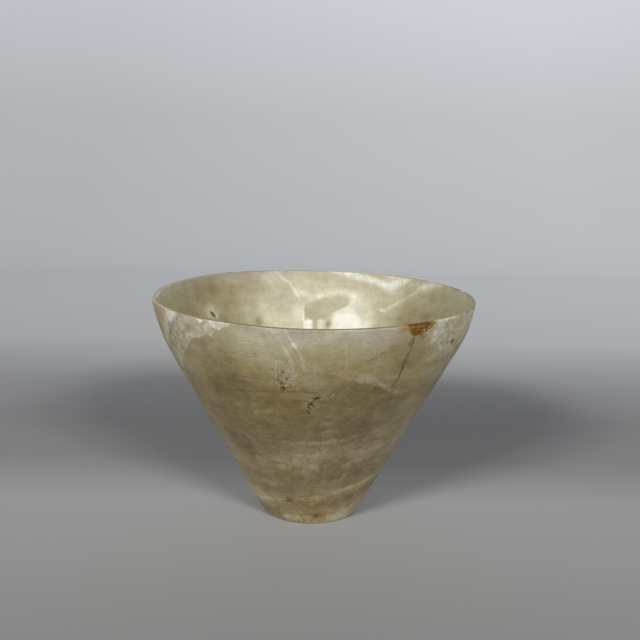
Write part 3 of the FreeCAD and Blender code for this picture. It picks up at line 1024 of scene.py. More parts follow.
# The pale ring round the slot, and the flat leaf-shaped patch with its tone and how much yellower it is
slot_halo = (0.15, -128.2, 67.2, 9.0, 8.0)
leaf_outline = (
    (-175.6, 67.2), (-178.5, 68), (179, 68.4), (177, 69.2), (175, 69.8), (172, 70.1), (169, 70.8),
    (166.5, 70.9), (164.8, 70.3), (163.7, 69), (163.7, 68), (166, 66.4), (170, 64.8), (172, 64),
    (173.2, 62.9), (174.8, 61.6), (177.8, 61.8), (178.3, 54), (-179.9, 54), (-179.6, 61.2), (-177.5, 62),
    (-175.6, 61.2),
)
leaf_tone = 0.625
leaf_hue = 0.5


def layered(canvas, patches, spots=()):
    """The tone that soft patches and spots add."""
    tone = np.zeros(len(canvas.level))
    for strength, softness, points in patches:
        tone += strength * canvas.patch(points, softness)
    for strength, angle, level, width, tall in spots:
        tone += strength * canvas.spot(angle, level, width, tall)
    return tone


def strongest(canvas, patches):
    total = np.zeros(len(canvas.level))
    for strength, softness, points in patches:
        total = np.maximum(total, strength * canvas.patch(points, softness))
    return total


def veins(canvas, lines):
    """The nearest line: how far aside and how far off it is, its half width, its softness and its tone."""
    size = len(canvas.level)
    nearest, aside = np.full(size, far_off), np.full(size, far_off)
    half, softness, tone = np.zeros(size), np.full(size, plain_softness), np.zeros(size)
    for strength, width, soft, points in lines:
        gap, along, side = canvas.away(points)
        taper = np.clip(np.minimum(along, 1 - along) / vein_taper_share, vein_tip_share, 1.0)
        closer = gap - width / 2 < nearest
        nearest[closer] = (gap - width / 2)[closer]
        aside[closer] = side[closer]
        half[closer] = (taper * width / 2)[closer]
        softness[closer] = soft
        tone[closer] = strength
    return aside, nearest, half, softness, tone


def depth_inside(canvas, points):
    """How far each point lies inside an outline, in millimetres, and below 0 outside."""
    gap, _, _ = canvas.away(tuple(points) + (points[0],))
    return np.where(canvas.inside(points), gap, -gap)


def depth_below(canvas, line):
    """How far each point lies below a line, in millimetres."""
    angles, levels = np.array(line).T
    return (np.interp(canvas.angle, angles, levels) - canvas.level) * canvas.slope


def pitted_ground(canvas):
    """Where fine pits gather, from 0 to 1."""
    total = np.zeros(len(canvas.level))
    for angle, level, spread_angle, spread_level, _, widest in pit_groups:
        across, up = canvas.steps((angle, level))
        away = np.hypot(across / (spread_angle * canvas.degree), up / spread_level)
        total = np.maximum(total, widest * np.exp(-away * away / group_softness))
    return total


def pit_shade(canvas):
    """How deep in a pit each point lies, from 0 to 1, for the painted shade there."""
    shade = np.zeros(len(canvas.level))
    for angle, level, width, tall, depth in list(large_pits) + scattered_pits():
        spot = canvas.spot(angle, level, width * shade_reach_share, tall * shade_reach_share)
        shade = np.maximum(shade, spot * min(1.0, depth / full_shade_depth))
    return shade


def lip_share(radius, level):
    """1 on the lip's rounded top and 0 on the two faces."""
    inner_edge, outer_edge = (rim_radius - lip_thickness * share for share in lip_edge_shares)
    low, high = (height - drop for drop in lip_drops)
    across = smooth(radius, rim_radius - lip_thickness, inner_edge)
    across *= 1 - smooth(radius, outer_edge, rim_radius)
    return across * smooth(level, low, high)


vein_names = ("vein_aside", "vein_gap", "vein_half", "vein_softness", "vein_tone")


def places_on(mesh):
    """Where the mesh's points lie."""
    points = np.zeros(len(mesh.vertices) * 3)
    mesh.vertices.foreach_get("co", points)
    return points.reshape(-1, 3).T / mm


def put(mesh, values):
    """Puts named values on the mesh's points, for its material to read."""
    for name, value in values.items():
        mesh.attributes.new(name, "FLOAT", "POINT").data.foreach_set("value", value.astype(np.float32))


def plain_form(angle, radius, level):
    """The level and the radius that each point has before the rim rises, sways and thins."""
    level = level - softened_rise(angle) * smooth(level, rim_rise_from, height)
    radius = radius - swayed(angle, level)
    return level, radius - thinned(angle, level, radius)


def outer_tone(canvas, x, radius, level):
    tilt = layer_tilt * x * (smooth(level, *tilt_starts) * (1 - smooth(level, *tilt_ends)))
    levels, tones = np.array(outer_tones).T
    patches = layered(canvas, outer_patches, outer_spots)
    return np.interp(canvas.level - tilt, levels, tones) + patches * smooth(radius, *underside_radii)


def inner_tone(canvas, angle, level):
    wall = looped(inner_tones, angle) + looped(inner_rim_painted_light, angle) * smooth(level, *inner_rim_levels)
    tone = inner_floor_tone + (wall - inner_floor_tone) * smooth(level, *inner_floor_levels)
    return tone + layered(canvas, inner_patches, inner_spots + (slot_halo,))


def slot_shading(canvas):
    wide, long = slot_shade_shares
    return canvas.spot(*slot_place, slot_width * wide, slot_length * long, slot_lean) * slot_shade


def painted(piece):
    """Puts where the stone's tones, veins, edges and pits lie on its points."""
    x, y, real_level = places_on(piece.data)
    radius = np.hypot(x, y)
    angle = np.degrees(np.arctan2(x, -y))
    level, plain_radius = plain_form(angle, radius, real_level)
    is_outer = plain_radius > wall_middle(level)
    canvas = Canvas(angle, level, np.maximum(radius, 1.0), paint_wobble, paint_seed)
    still = Canvas(angle, level, np.maximum(radius, 1.0))
    fade_in, fade_out = ledge_reach
    inner_pale = smooth(level, *inner_rim_levels) * looped(inner_rim_pales, angle)
    leaf = canvas.patch(leaf_outline, edge_softness) * leaf_hue

    def either(outside, inside=0.0):
        return np.where(is_outer, outside, inside)

    values = {
        "inside": either(0.0, 1.0),
        "tone": either(outer_tone(canvas, x, radius, level), inner_tone(canvas, angle, level)),
        "hue": either(np.clip(layered(canvas, outer_hues), -1.0, 1.0), leaf),
        "pale": either(strongest(canvas, outer_pale), inner_pale),
        "warmth": either(strongest(canvas, outer_warm), strongest(canvas, inner_warm)),
        "crystals": either(strongest(canvas, outer_crystals)),
        "speckles": either(strongest(canvas, outer_speckles)),
        "dark": np.clip(either(pit_shade(still), slot_shading(still)), 0.0, 1.0),
        "pitted": either(pitted_ground(canvas)),
        "stain": canvas.patch(stained_rim, edge_softness),
        "shell": either(depth_inside(canvas, shell_outline), far_outside),
        "shell_share": smooth(angle, *shell_reach),
        "ledge": either(depth_below(canvas, ledge_line), far_outside),
        "ledge_share": smooth(angle, *fade_in) * (1 - smooth(angle, *fade_out)),
        "broken": either(depth_inside(canvas, broken_outline), far_outside),
        "leaf": either(far_outside, depth_inside(canvas, leaf_outline)),
        "growth": np.hypot(*still.steps(growth_middle)),
        "growth_share": either(strongest(canvas, growth_patches)),
        "lip": lip_share(plain_radius, level),
        "lip_tone": looped(lip_tones_with_painted_shade, angle),
    }
    for name, outside, inside in zip(vein_names, veins(still, outer_lines), veins(still, inner_lines)):
        values[name] = either(outside, inside)
    put(piece.data, values)


# The stone's colours by tone
stone_colours = (
    (0.05, (0.010, 0.006, 0.003)), (0.20, (0.046, 0.029, 0.012)), (0.36, (0.139, 0.099, 0.042)),
    (0.41, (0.173, 0.129, 0.059)), (0.45, (0.202, 0.156, 0.078)), (0.50, (0.261, 0.203, 0.111)),
    (0.55, (0.314, 0.259, 0.147)), (0.59, (0.347, 0.303, 0.188)), (0.63, (0.385, 0.350, 0.227)),
    (0.70, (0.475, 0.437, 0.302)), (0.78, (0.585, 0.560, 0.430)), (0.88, (0.745, 0.738, 0.650)),
    (0.96, (0.845, 0.845, 0.790)),
)
# What its colour is multiplied by in places
pinker = (1.06, 0.98, 1.22)
yellower = (1.0, 0.97, 0.76)
warmer = (1.05, 0.88, 0.68)
redder = (1.05, 0.96, 0.98)
greener = (0.95, 1.02, 0.96)
paler = (0.98, 1.0, 1.22)
# Its colour in pits, which is painted shade of the hollows, in specks and in the stain beside the fill
pit_shade_colour = (0.052, 0.030, 0.005)
speck_colour = (0.13, 0.09, 0.045)
stain_colour = (0.27, 0.21, 0.06)

# How far apart the stone's blotches lie, in millimetres, and how much each kind adds to its tone
cloud_size, cloud_weight = 16.0, 0.07
band_size, band_weight = 22.0, 0.12
mottle_size, mottle_weight = 4.0, 0.17
streak_size, streak_weight = 7.0, 0.085
fleck_size, fleck_weight = 1.3, 0.115
grain_size, grain_weight = 0.45, 0.115
rough_size, speckle_size = 2.5, 0.8
# Blotches with clearer edges: their size, where the edge lies in the noise, and their tone
blotch_size, blotch_edge, blotch_tone = 5.0, 0.09, 0.011
# How much flatter some of them are than they are wide, and how far they lean, in degrees
band_squeeze, band_lean = 5.0, -13.0
streak_squeeze, streak_lean = 8.0, -2.0
blotch_squeeze, rough_squeeze = 1.7, 1.6
# The fine ones show more low on the outside, below these levels, and less inside
fine_levels = (34.0, 72.0)
fine_share_low, fine_share_inside = 1.55, 0.62
# Painted glow: stone seen at a slant is painted this much paler, standing in for light that its thin edges
# let through
painted_slant_glow = 0.06
slant_reach = (0.30, 0.80)

# Four numbers in a step are: from and to in what is measured, then from and to in what is made of it.
# Veins: noise and grain bend them, hard and inner ones less, and clouds hide them in places. They show only
# this far past their width.
vein_waver_size, vein_wavers = 2.4, (0.8, 0.3)
hard_vein_step, inner_vein_share = (0.3, 0.6, 0.2, 1.0), 0.3
vein_cloud_size, vein_cloud_step = 2.2, (-0.25, 0.1, 0.5, 1.2)
vein_margin = 0.5
# Growth lines: how far apart, how strong, the noise that bends them, and the clouds that hide them
growth_gap, growth_strength = 1.3, 0.021
growth_waver_size, growth_waver = 7.0, 11.0
growth_cloud_size, growth_cloud_step = 9.0, (-0.2, 0.15, 0.2, 1.0)

# Edges of the painted areas: how strongly noise, flecks and the painted depth count there
edge_size, broken_size = 2.6, 3.0
shell_wavers, ledge_wavers, broken_wavers = (1.6, 0.5, 1.0), (1.8, 0.8, 1.0), (1.4, 0.8, 1.0)
leaf_wavers = (0.7, 1.0)
# Where they step, in millimetres inside the area, and below 0 outside
shell_edge, shell_border, shell_shadow = (-0.15, 0.25), (6.0, 1.6), (-4.0, -0.3)
ledge_edge, ledge_fade, ledge_light = (-0.15, 0.45), (10.0, 1.0, 0.25, 1.0), (-2.6, -0.3)
ledge_end = (15.0, 8.0)
under_edge = (0.1, -0.2)
broken_edge = (-0.3, 0.4)
leaf_edge = (-0.55, 0.6)
# The shell's tones: in it, at its border, its speckles, and below it. It fades out behind in clouds.
shell_weights = (0.03, 0.05, 0.26, -0.02)
shell_cloud_size, shell_cloud_weight, shell_fade = 6.0, 1.2, (0.15, 0.6)
# Tones below and above the ledge, in crystals and their speckles, in speckled and in broken stone
ledge_weights = (-0.065, 0.03)
crystal_speckle_weight, crystal_tone = 0.75, 0.014
speckle_weight, broken_speckle_weight, broken_tone = 0.4, 0.15, 0.035
# Clouds and mottle in the leaf, and mottle and flecks on the lip
leaf_weights = (0.10, 0.13, 1.0)
lip_weights = (0.25, 0.25, 1.0)

# Noises in the colour, and how much they count: paler, redder or greener, yellower or pinker, and warmer
pale_size, pale_weights, pale_step = 3.0, (1.0, 0.5, 1.8, 0.5), (0.05, 1.0)
ruddy_size, fine_ruddy_size, ruddy_weights = 4.0, 1.1, (3.4, 1.8)
hue_size, fine_hue_size, hue_weights, inner_hue_share = 7.0, 2.2, (1.0, 1.9, 1.2), 0.5
warm_size, warm_step, warm_strength, lip_warm_share = 5.0, (-0.25, 0.2), 0.7, 0.4
# Brown specks, and the stain
speck_weights, speck_step, speck_strength = (1.0, 0.5), (0.10, 0.24), 0.7
stain_strength = 0.7
# Painted shade of the pits: flecks break up the painted ones, and fine noise makes more where they gather
pit_weights, pit_step, pit_strength = (1.0, 0.6), (0.35, 0.85), 0.85
fine_pit_size, fine_pit_step, pitted_step = 0.9, (0.16, 0.24), (0.25, 0.7)

# How dull the stone is: plain, inside, and at the more polished foot. Mottle, flecks, crystals and speckles
# make it duller, up to a limit.
stone_roughness, inner_roughness, foot_roughness, roughest = 0.40, 0.50, 0.28, 0.9
foot_polish_levels = (1.6, 4.0)
dull_weights = (0.25, 0.15, 0.1, 0.1, 1.0)
# Its surface: dents, grain, flat turning marks, pits and speckles, how high they stand, and how far light
# spreads below it in red, green and blue
dent_size = 2.6
tooling_size, tooling_squeeze = 30.0, 45.0
surface_weights, speckle_dents = (0.5, 0.25, 0.25, -1.2), 1.6
bump_strength, bump_distance = 0.5, 0.12
glow_weight, glow_radius = 0.2, (2.2, 1.7, 1.0)

# Colours of the resin in the fill, from its darkest streaks to its palest, of its painted edge shade and its
# painted glints, and of the seam
amber_colours = ((0.30, (0.105, 0.043, 0.002)), (0.55, (0.168, 0.078, 0.004)), (0.75, (0.25, 0.145, 0.014)))
amber_gold = (0.27, 0.180, 0.022)
amber_orange = (0.25, 0.130, 0.020)
amber_edge_shade = (0.045, 0.022, 0.003)
painted_glint_colour = (0.55, 0.42, 0.25)
seam_colours = ((0.3, (0.086, 0.051, 0.012)), (0.7, (0.188, 0.122, 0.040)))


class Graph:
    """Short ways to add and join the nodes of one material."""

    def __init__(self, name):
        self.material = bpy.data.materials.new(name)
        self.material.use_nodes = True
        self.tree = self.material.node_tree
        self.shader = self.tree.nodes["Principled BSDF"]
        self.place = self.add("ShaderNodeTexCoord").outputs["Object"]

    def add(self, kind, **settings):
        node = self.tree.nodes.new(kind)
        for name, value in settings.items():
            setattr(node, name, value)
        return node

    def feed(self, socket, value):
        if isinstance(value, bpy.types.NodeSocket):
            self.tree.links.new(value, socket)
        elif isinstance(value, tuple):
            socket.default_value = (*value, 1.0) if len(socket.default_value) == 4 else value
        else:
            socket.default_value = value

    def math(self, operation, first, second=0.0, third=None):
        node = self.add("ShaderNodeMath", operation=operation)
        self.feed(node.inputs[0], first)
        self.feed(node.inputs[1], second)
        if third is not None:
            self.feed(node.inputs[2], third)
        return node.outputs[0]

    def product(self, *values):
        result = values[0]
        for value in values[1:]:
            result = self.math("MULTIPLY", result, value)
        return result

    def total(self, *shares):
        """Sum of value times weight for each pair."""
        result = 0.0
        for value, weight in shares:
            result = self.math("MULTIPLY_ADD", value, weight, result)
        return result

    def weighed(self, weights, *values):
        """Sum of the values, each times its weight."""
        return self.total(*zip(values, weights))

    def attribute(self, name):
        return self.add("ShaderNodeAttribute", attribute_name=name).outputs["Fac"]

    def along(self, axis):
        """The place along an axis, in metres."""
        node = self.add("ShaderNodeSeparateXYZ")
        self.feed(node.inputs[0], self.place)
        return node.outputs[axis]

    def mapped(self, scale, lean=0.0):
        node = self.add("ShaderNodeMapping")
        self.feed(node.inputs["Vector"], self.place)
        node.inputs["Scale"].default_value = scale
        node.inputs["Rotation"].default_value[1] = math.radians(lean)
        return node.outputs[0]

    def noise(self, size, detail=4.0, roughness=0.55, place=None, distortion=0.0):
        """Noise about 0, mostly within a half each way. Its blotches lie size millimetres apart."""
        node = self.add("ShaderNodeTexNoise")
        self.feed(node.inputs["Vector"], place or self.place)
        node.inputs["Scale"].default_value = 1 / (size * mm)
        node.inputs["Detail"].default_value = detail
        node.inputs["Roughness"].default_value = roughness
        node.inputs["Distortion"].default_value = distortion
        return self.math("SUBTRACT", node.outputs["Fac"], 0.5)

    def step(self, value, low, high, lowest=0.0, highest=1.0, kind="SMOOTHSTEP"):
        """A soft step from lowest to highest, while the value goes from low to high."""
        node = self.add("ShaderNodeMapRange", interpolation_type=kind)
        self.feed(node.inputs["Value"], value)
        for name, number in (("From Min", low), ("From Max", high), ("To Min", lowest), ("To Max", highest)):
            self.feed(node.inputs[name], number)
        return node.outputs["Result"]

    def ramp(self, value, stops):
        node = self.add("ShaderNodeValToRGB")
        self.feed(node.inputs["Fac"], value)
        bar = node.color_ramp.elements
        while len(bar) < len(stops):
            bar.new(0.5)
        for element, (place, colour) in zip(bar, stops):
            element.position = place
            element.color = (*colour, 1.0)
        return node.outputs["Color"]

    def mix(self, share, first, second, kind="MIX"):
        node = self.add("ShaderNodeMix", data_type="RGBA", blend_type=kind)
        self.feed(node.inputs["Factor"], share)
        self.feed(node.inputs["A"], first)
        self.feed(node.inputs["B"], second)
        return node.outputs["Result"]

    def mix_number(self, share, first, second):
        node = self.add("ShaderNodeMix", data_type="FLOAT")
        self.feed(node.inputs["Factor"], share)
        self.feed(node.inputs["A"], first)
        self.feed(node.inputs["B"], second)
        return node.outputs["Result"]

    def bumped(self, level, strength, distance):
        node = self.add("ShaderNodeBump")
        node.inputs["Strength"].default_value = strength
        node.inputs["Distance"].default_value = distance * mm
        self.feed(node.inputs["Height"], level)
        return node.outputs["Normal"]

    def glow(self, weight, radius):
        """Light that spreads below the surface, by this far in red, green and blue, in millimetres."""
        self.shader.inputs["Subsurface Weight"].default_value = weight
        self.shader.inputs["Subsurface Radius"].default_value = radius
        self.shader.inputs["Subsurface Scale"].default_value = mm


def vein_share(g, grain):
    """How strongly the nearest vein or thin line shows. Inside the cup its edges are smoother."""
    softness = g.attribute("vein_softness")
    waver_share = g.step(g.attribute("inside"), 0.0, 1.0, 1.0, inner_vein_share)
    waver_share = g.product(waver_share, g.step(softness, *hard_vein_step))
    waver = g.weighed(vein_wavers, g.noise(vein_waver_size, 3.0), grain)
    aside = g.math("ABSOLUTE", g.math("MULTIPLY_ADD", waver, waver_share, g.attribute("vein_aside")))
    near = g.math("SUBTRACT", g.math("ADD", softness, vein_margin), g.attribute("vein_gap"))
    depth = g.math("MINIMUM", g.math("SUBTRACT", g.attribute("vein_half"), aside), near)
    share = g.step(depth, g.math("MULTIPLY", softness, -1.0), softness)
    return g.product(share, g.step(g.noise(vein_cloud_size, 2.0), *vein_cloud_step))


def shell_tone(g, rough, flecks):
    """The pale shell at the left: a little paler, with a speckled border, and darker just below its edge."""
    depth = g.weighed(shell_wavers, g.noise(edge_size, 3.0), flecks, g.attribute("shell"))
    in_shell = g.step(depth, *shell_edge)
    border = g.product(in_shell, g.step(depth, *shell_border))
    under = g.product(g.step(depth, *under_edge), g.step(depth, *shell_shadow))
    tone = g.weighed(shell_weights, in_shell, border, g.product(in_shell, rough), under)
    clouds = g.noise(shell_cloud_size, 4.0)
    share = g.step(g.total((clouds, shell_cloud_weight), (g.attribute("shell_share"), 1.0)), *shell_fade)
    return g.product(tone, share), g.product(border, share)


def ledge_tone(g, flecks):
    """The darker stone at the right, below its sharp top."""
    depth = g.weighed(ledge_wavers, g.noise(edge_size, 3.0), flecks, g.attribute("ledge"))
    under = g.product(g.step(depth, *ledge_edge), g.step(depth, *ledge_fade))
    over = g.product(g.step(depth, *under_edge), g.step(depth, *ledge_light))
    tone = g.weighed(ledge_weights, g.product(under, g.step(depth, *ledge_end)), over)
    return g.product(tone, g.attribute("ledge_share"))


def growth_tone(g):
    """Fine growth lines, which show only here and there."""
    waver = g.noise(growth_waver_size, 3.0)
    turns = g.weighed((tau / growth_gap, growth_waver), g.attribute("growth"), waver)
    clouds = g.step(g.noise(growth_cloud_size, 2.0), *growth_cloud_step)
    shown = g.product(g.attribute("growth_share"), clouds)
    return g.product(g.math("SINE", turns), shown, growth_strength)


def blotchy(g):
    """Blotches with fairly clear edges, above and below 0."""
    place = g.mapped((1.0, 1.0, blotch_squeeze), streak_lean)
    blotches = g.noise(blotch_size, 6.0, 0.6, place, 0.7)
    return g.step(blotches, -blotch_edge, blotch_edge, -blotch_tone, blotch_tone)


def stone_tone(g, noises):
    """The stone's tone: what is painted on its points, broken up by veins, edges and fine mottling."""
    clouds, bands, mottle, flecks, grain = noises
    streaks = g.noise(streak_size, 5.0, 0.62, g.mapped((1.0, 1.0, streak_squeeze), streak_lean), 0.5)
    rough = g.noise(rough_size, 4.0, 0.72, g.mapped((1.0, 1.0, rough_squeeze)))
    speckle = g.noise(speckle_size, 4.0, 0.75)
    crystals = g.attribute("crystals")
    levels = [level * mm for level in fine_levels]
    fine_share = g.step(g.along("Z"), *levels, fine_share_low, 1.0)
    fine_share = g.mix_number(g.attribute("inside"), fine_share, fine_share_inside)
    fine = g.total((flecks, fleck_weight), (grain, grain_weight), (streaks, streak_weight), (blotchy(g), 1.0))
    fine = g.product(fine, fine_share)
    # Painted glow: the stone is painted paler where it is seen at a slant
    facing = g.add("ShaderNodeLayerWeight").outputs["Facing"]
    vein = g.product(vein_share(g, grain), g.attribute("vein_tone"))
    shell, border = shell_tone(g, rough, flecks)
    broken = g.weighed(broken_wavers, g.noise(broken_size, 3.0), flecks, g.attribute("broken"))
    in_broken = g.step(broken, *broken_edge)
    speckled = g.math("MAXIMUM", g.math("MAXIMUM", g.attribute("speckles"), border), in_broken)
    tone = g.total(
        (clouds, cloud_weight), (bands, band_weight), (mottle, mottle_weight), (fine, 1.0), (vein, 1.0),
        (shell, 1.0), (ledge_tone(g, flecks), 1.0), (growth_tone(g), 1.0),
        (g.product(crystals, speckle), crystal_speckle_weight), (crystals, crystal_tone),
        (g.step(facing, *slant_reach), painted_slant_glow), (g.product(speckled, rough), speckle_weight),
        (g.product(in_broken, rough), broken_speckle_weight), (in_broken, broken_tone),
        (g.attribute("tone"), 1.0))
    leaf = g.step(g.weighed(leaf_wavers, flecks, g.attribute("leaf")), *leaf_edge)
    tone = g.mix_number(leaf, tone, g.weighed(leaf_weights, clouds, mottle, leaf_tone))
    # The lip's tone, partly painted shade on its top
    lip_shaded_tone = g.weighed(lip_weights, mottle, flecks, g.attribute("lip_tone"))
    return g.mix_number(g.attribute("lip"), tone, lip_shaded_tone), vein, speckled


def stone_colour(g, tone, vein, speckled, flecks, grain):
    """The stone's colour before its pits: by tone, then paler, pinker, yellower or warmer in places."""
    inside = g.attribute("inside")
    colour = g.ramp(tone, stone_colours)
    sources = (g.attribute("pale"), g.attribute("crystals"), vein, g.noise(pale_size, 3.0))
    pale = g.weighed(pale_weights, *sources)
    shown = g.math("MAXIMUM", g.step(inside, 1.0, 0.0), g.attribute("pale"))
    colour = g.mix(g.product(g.step(pale, *pale_step), shown), colour, paler, "MULTIPLY")
    ruddy = g.weighed(ruddy_weights, g.noise(ruddy_size, 4.0, 0.6), g.noise(fine_ruddy_size, 2.0))
    noises = (g.noise(hue_size, 3.0), g.noise(fine_hue_size, 3.0))
    hue = g.weighed(hue_weights, g.attribute("hue"), *noises)
    hue = g.product(hue, g.step(inside, 0.0, 1.0, 1.0, inner_hue_share))
    for measure, above, below in ((ruddy, redder, greener), (hue, yellower, pinker)):
        colour = g.mix(g.step(measure, 0.0, 1.0), colour, above, "MULTIPLY")
        colour = g.mix(g.step(measure, 0.0, -1.0), colour, below, "MULTIPLY")
    warm = g.product(g.attribute("warmth"), g.step(g.noise(warm_size), *warm_step), warm_strength)
    warm = g.product(warm, g.step(g.attribute("lip"), 0.0, 1.0, 1.0, lip_warm_share))
    colour = g.mix(warm, colour, warmer, "MULTIPLY")
    specks = g.step(g.weighed(speck_weights, flecks, grain), *speck_step)
    colour = g.mix(g.product(specks, speckled, speck_strength), colour, speck_colour)
    return g.mix(g.product(g.attribute("stain"), stain_strength), colour, stain_colour)


def stone_material():
    g = Graph("banded_calcite")
    clouds = g.noise(cloud_size, 3.0, 0.5)
    bands = g.noise(band_size, 4.0, 0.6, g.mapped((1.0, 1.0, band_squeeze), band_lean), 0.4)
    mottle = g.noise(mottle_size, 5.0, 0.65)
    flecks = g.noise(fleck_size, 4.0, 0.7)
    grain = g.noise(grain_size, 2.0, 0.6)
    tone, vein, speckled = stone_tone(g, (clouds, bands, mottle, flecks, grain))
    colour = stone_colour(g, tone, vein, speckled, flecks, grain)

    # Painted shade in the pits and the slot
    pits = g.step(g.weighed(pit_weights, g.attribute("dark"), flecks), *pit_step)
    fine_pits = g.step(g.noise(fine_pit_size, 3.0, 0.7), *fine_pit_step)
    fine_pits = g.product(fine_pits, g.step(g.attribute("pitted"), *pitted_step))
    pits = g.math("MAXIMUM", pits, fine_pits)
    g.feed(g.shader.inputs["Base Color"], g.mix(g.product(pits, pit_strength), colour, pit_shade_colour))

    foot_levels = [level * mm for level in foot_polish_levels]
    plain = g.step(g.along("Z"), *foot_levels, foot_roughness, stone_roughness)
    plain = g.mix_number(g.attribute("inside"), plain, inner_roughness)
    roughness = g.weighed(dull_weights, mottle, flecks, g.attribute("crystals"), speckled, plain)
    g.feed(g.shader.inputs["Roughness"], g.math("MINIMUM", roughness, roughest))

    dents = g.noise(dent_size, 4.0, 0.6)
    tooling = g.noise(tooling_size, 3.0, 0.6, g.mapped((1.0, 1.0, tooling_squeeze)))
    surface = g.weighed(surface_weights, dents, grain, tooling, pits)
    surface = g.total((g.product(speckled, flecks), speckle_dents), (surface, 1.0))
    g.feed(g.shader.inputs["Normal"], g.bumped(surface, bump_strength, bump_distance))
    g.glow(glow_weight, glow_radius)
    return g.material


# Painted glints in the fill, a round one and a long one: angle, level, width, height, and the second one's
# lean
painted_amber_glint = (38.1, 78.3, 1.0, 0.9)
amber_streak = (40.0, 78.9, 2.6, 0.6, 35.0)
streak_share = 0.6
# The fill's streaks and lumps, and how deep light spreads in it
amber_streak_size, amber_swirl = 1.5, 0.9
amber_lump_size, amber_lump_strength, amber_bump = 1.1, 0.6, 0.15
amber_glow_weight, amber_glow_radius = 0.15, (3.0, 1.4, 0.3)
# Its orange band below the top: where it fades going down and to the right, and how strong it is
orange_foot, orange_end, orange_strength = (1.5, 0.9), (0.75, 0.55), 0.6
# Its gold edge, which streaks break up, and its gold right end
gold_waver, gold_edge, gold_step, gold_strength = 1.2, (0.9, 0.2), (-0.2, 0.1, 0.4, 1.0), 0.6
gold_end_waver, gold_end = 0.2, (0.68, 0.86)
# The painted shade line along its top edge: from, to, where it ends at the right, and how strong it is
line_top, line_foot, line_end, line_strength = (-0.12, -0.03), (0.42, 0.2), (0.85, 0.65), 0.8
# How dull it is, by its streaks, and how dull its top is
amber_dull_step, amber_top_step = (-0.3, 0.3, 0.12, 0.3), (0.35, 0.1, 0.1, 0.8)
# The seam's colour blotches, dull places, lumps and their height
seam_blotch_size, seam_dull_size, seam_dull_step = 1.2, 0.8, (-0.3, 0.3, 0.4, 0.65)
seam_lump_size, seam_lump_strength, seam_bump = 0.6, 0.5, 0.1


def fill_painted(piece):
    """Puts how deep each point of the fill lies within the chip's edge, and how far across, on its points."""
    x, y, level = places_on(piece.data)
    angle = np.degrees(np.arctan2(x, -y))
    canvas = Canvas(angle, level, np.full(len(angle), rim_radius))
    turns = [chip_angle + math.degrees(math.asin(sideways / rim_radius)) for sideways, _ in chip_edge()]
    edge = [(turn, rise) for turn, (_, rise) in zip(turns, chip_edge())]
    put(piece.data, {
        "edge": depth_inside(canvas, edge),
        "across": np.sin(np.radians(angle - chip_angle)) * rim_radius / chip_width + 0.5,
        "below": height - level,
        # Painted glints in the fill
        "fleck": np.maximum(canvas.spot(*painted_amber_glint), canvas.spot(*amber_streak) * streak_share),
    })


def amber_material():
    g = Graph("amber_resin")
    edge = g.attribute("edge")
    across = g.attribute("across")
    below = g.attribute("below")
    streaks = g.noise(amber_streak_size, 4.0, 0.6, None, amber_swirl)
    colour = g.ramp(g.math("ADD", streaks, 0.5), amber_colours)
    band = g.product(g.step(below, *orange_foot), g.step(across, *orange_end))
    colour = g.mix(g.product(band, orange_strength), colour, amber_orange)
    rim = g.step(g.total((streaks, gold_waver), (edge, 1.0)), *gold_edge)
    rim = g.product(rim, g.step(streaks, *gold_step))
    colour = g.mix(g.product(rim, gold_strength), colour, amber_gold)
    colour = g.mix(g.step(g.total((streaks, gold_end_waver), (across, 1.0)), *gold_end), colour, amber_gold)
    # Painted shade along the fill's top edge
    line = g.product(g.step(below, *line_top), g.step(below, *line_foot), g.step(across, *line_end))
    colour = g.mix(g.product(line, line_strength), colour, amber_edge_shade)
    # Painted glints in the fill
    colour = g.mix(g.attribute("fleck"), colour, painted_glint_colour)
    g.feed(g.shader.inputs["Base Color"], colour)
    roughness = g.math("MAXIMUM", g.step(streaks, *amber_dull_step), g.step(below, *amber_top_step))
    g.feed(g.shader.inputs["Roughness"], roughness)
    lumps = g.bumped(g.noise(amber_lump_size, 3.0), amber_lump_strength, amber_bump)
    g.feed(g.shader.inputs["Normal"], lumps)
    g.glow(amber_glow_weight, amber_glow_radius)
    return g.material


def seam_material():
    g = Graph("crack_resin")
    blotches = g.math("ADD", g.noise(seam_blotch_size, 3.0), 0.5)
    g.feed(g.shader.inputs["Base Color"], g.ramp(blotches, seam_colours))
    g.feed(g.shader.inputs["Roughness"], g.step(g.noise(seam_dull_size), *seam_dull_step))
    lumps = g.bumped(g.noise(seam_lump_size, 3.0), seam_lump_strength, seam_bump)
    g.feed(g.shader.inputs["Normal"], lumps)
    return g.material


# Stage: a pale floor that curves up into a backdrop. Its paper is painted darker at the front as painted
# light falloff, with a painted shadow just behind the cup, and it is bluer at the top.
floor_half_width = 2.5
floor_front = -6.0
near_front = -0.5
curve_start = 0.55
curve_radius = 0.5
curve_steps = 48
backdrop_top = 2.2
# Places along the middle of the stage, in metres from the cup backwards and then up, and the paper's colour
# with its painted light falloff; the low values from 0.05 to 0.105 are a painted shadow behind the cup
paper_colours_with_painted_light = (
    (-0.10, (0.276, 0.275, 0.270)), (-0.045, (0.330, 0.328, 0.325)), (0.005, (0.355, 0.355, 0.353)),
    (0.05, (0.252, 0.253, 0.254)), (0.105, (0.250, 0.250, 0.253)), (0.175, (0.338, 0.339, 0.343)),
    (0.275, (0.573, 0.578, 0.587)), (0.42, (0.679, 0.692, 0.710)), (0.577, (0.745, 0.760, 0.772)),
    (0.777, (0.690, 0.708, 0.723)), (0.94, (0.672, 0.703, 0.722)), (1.12, (0.780, 0.811, 0.856)),
)
paper_reach = (-0.10, 1.12)
# The paper is painted darker at the left than at the right, as painted light falloff, this far to each side,
# from here backwards
left_shade, right_shade = 0.91, 1.08
shade_reach = 0.28
shade_start = (0.08, 0.26)
paper_roughness = 0.9


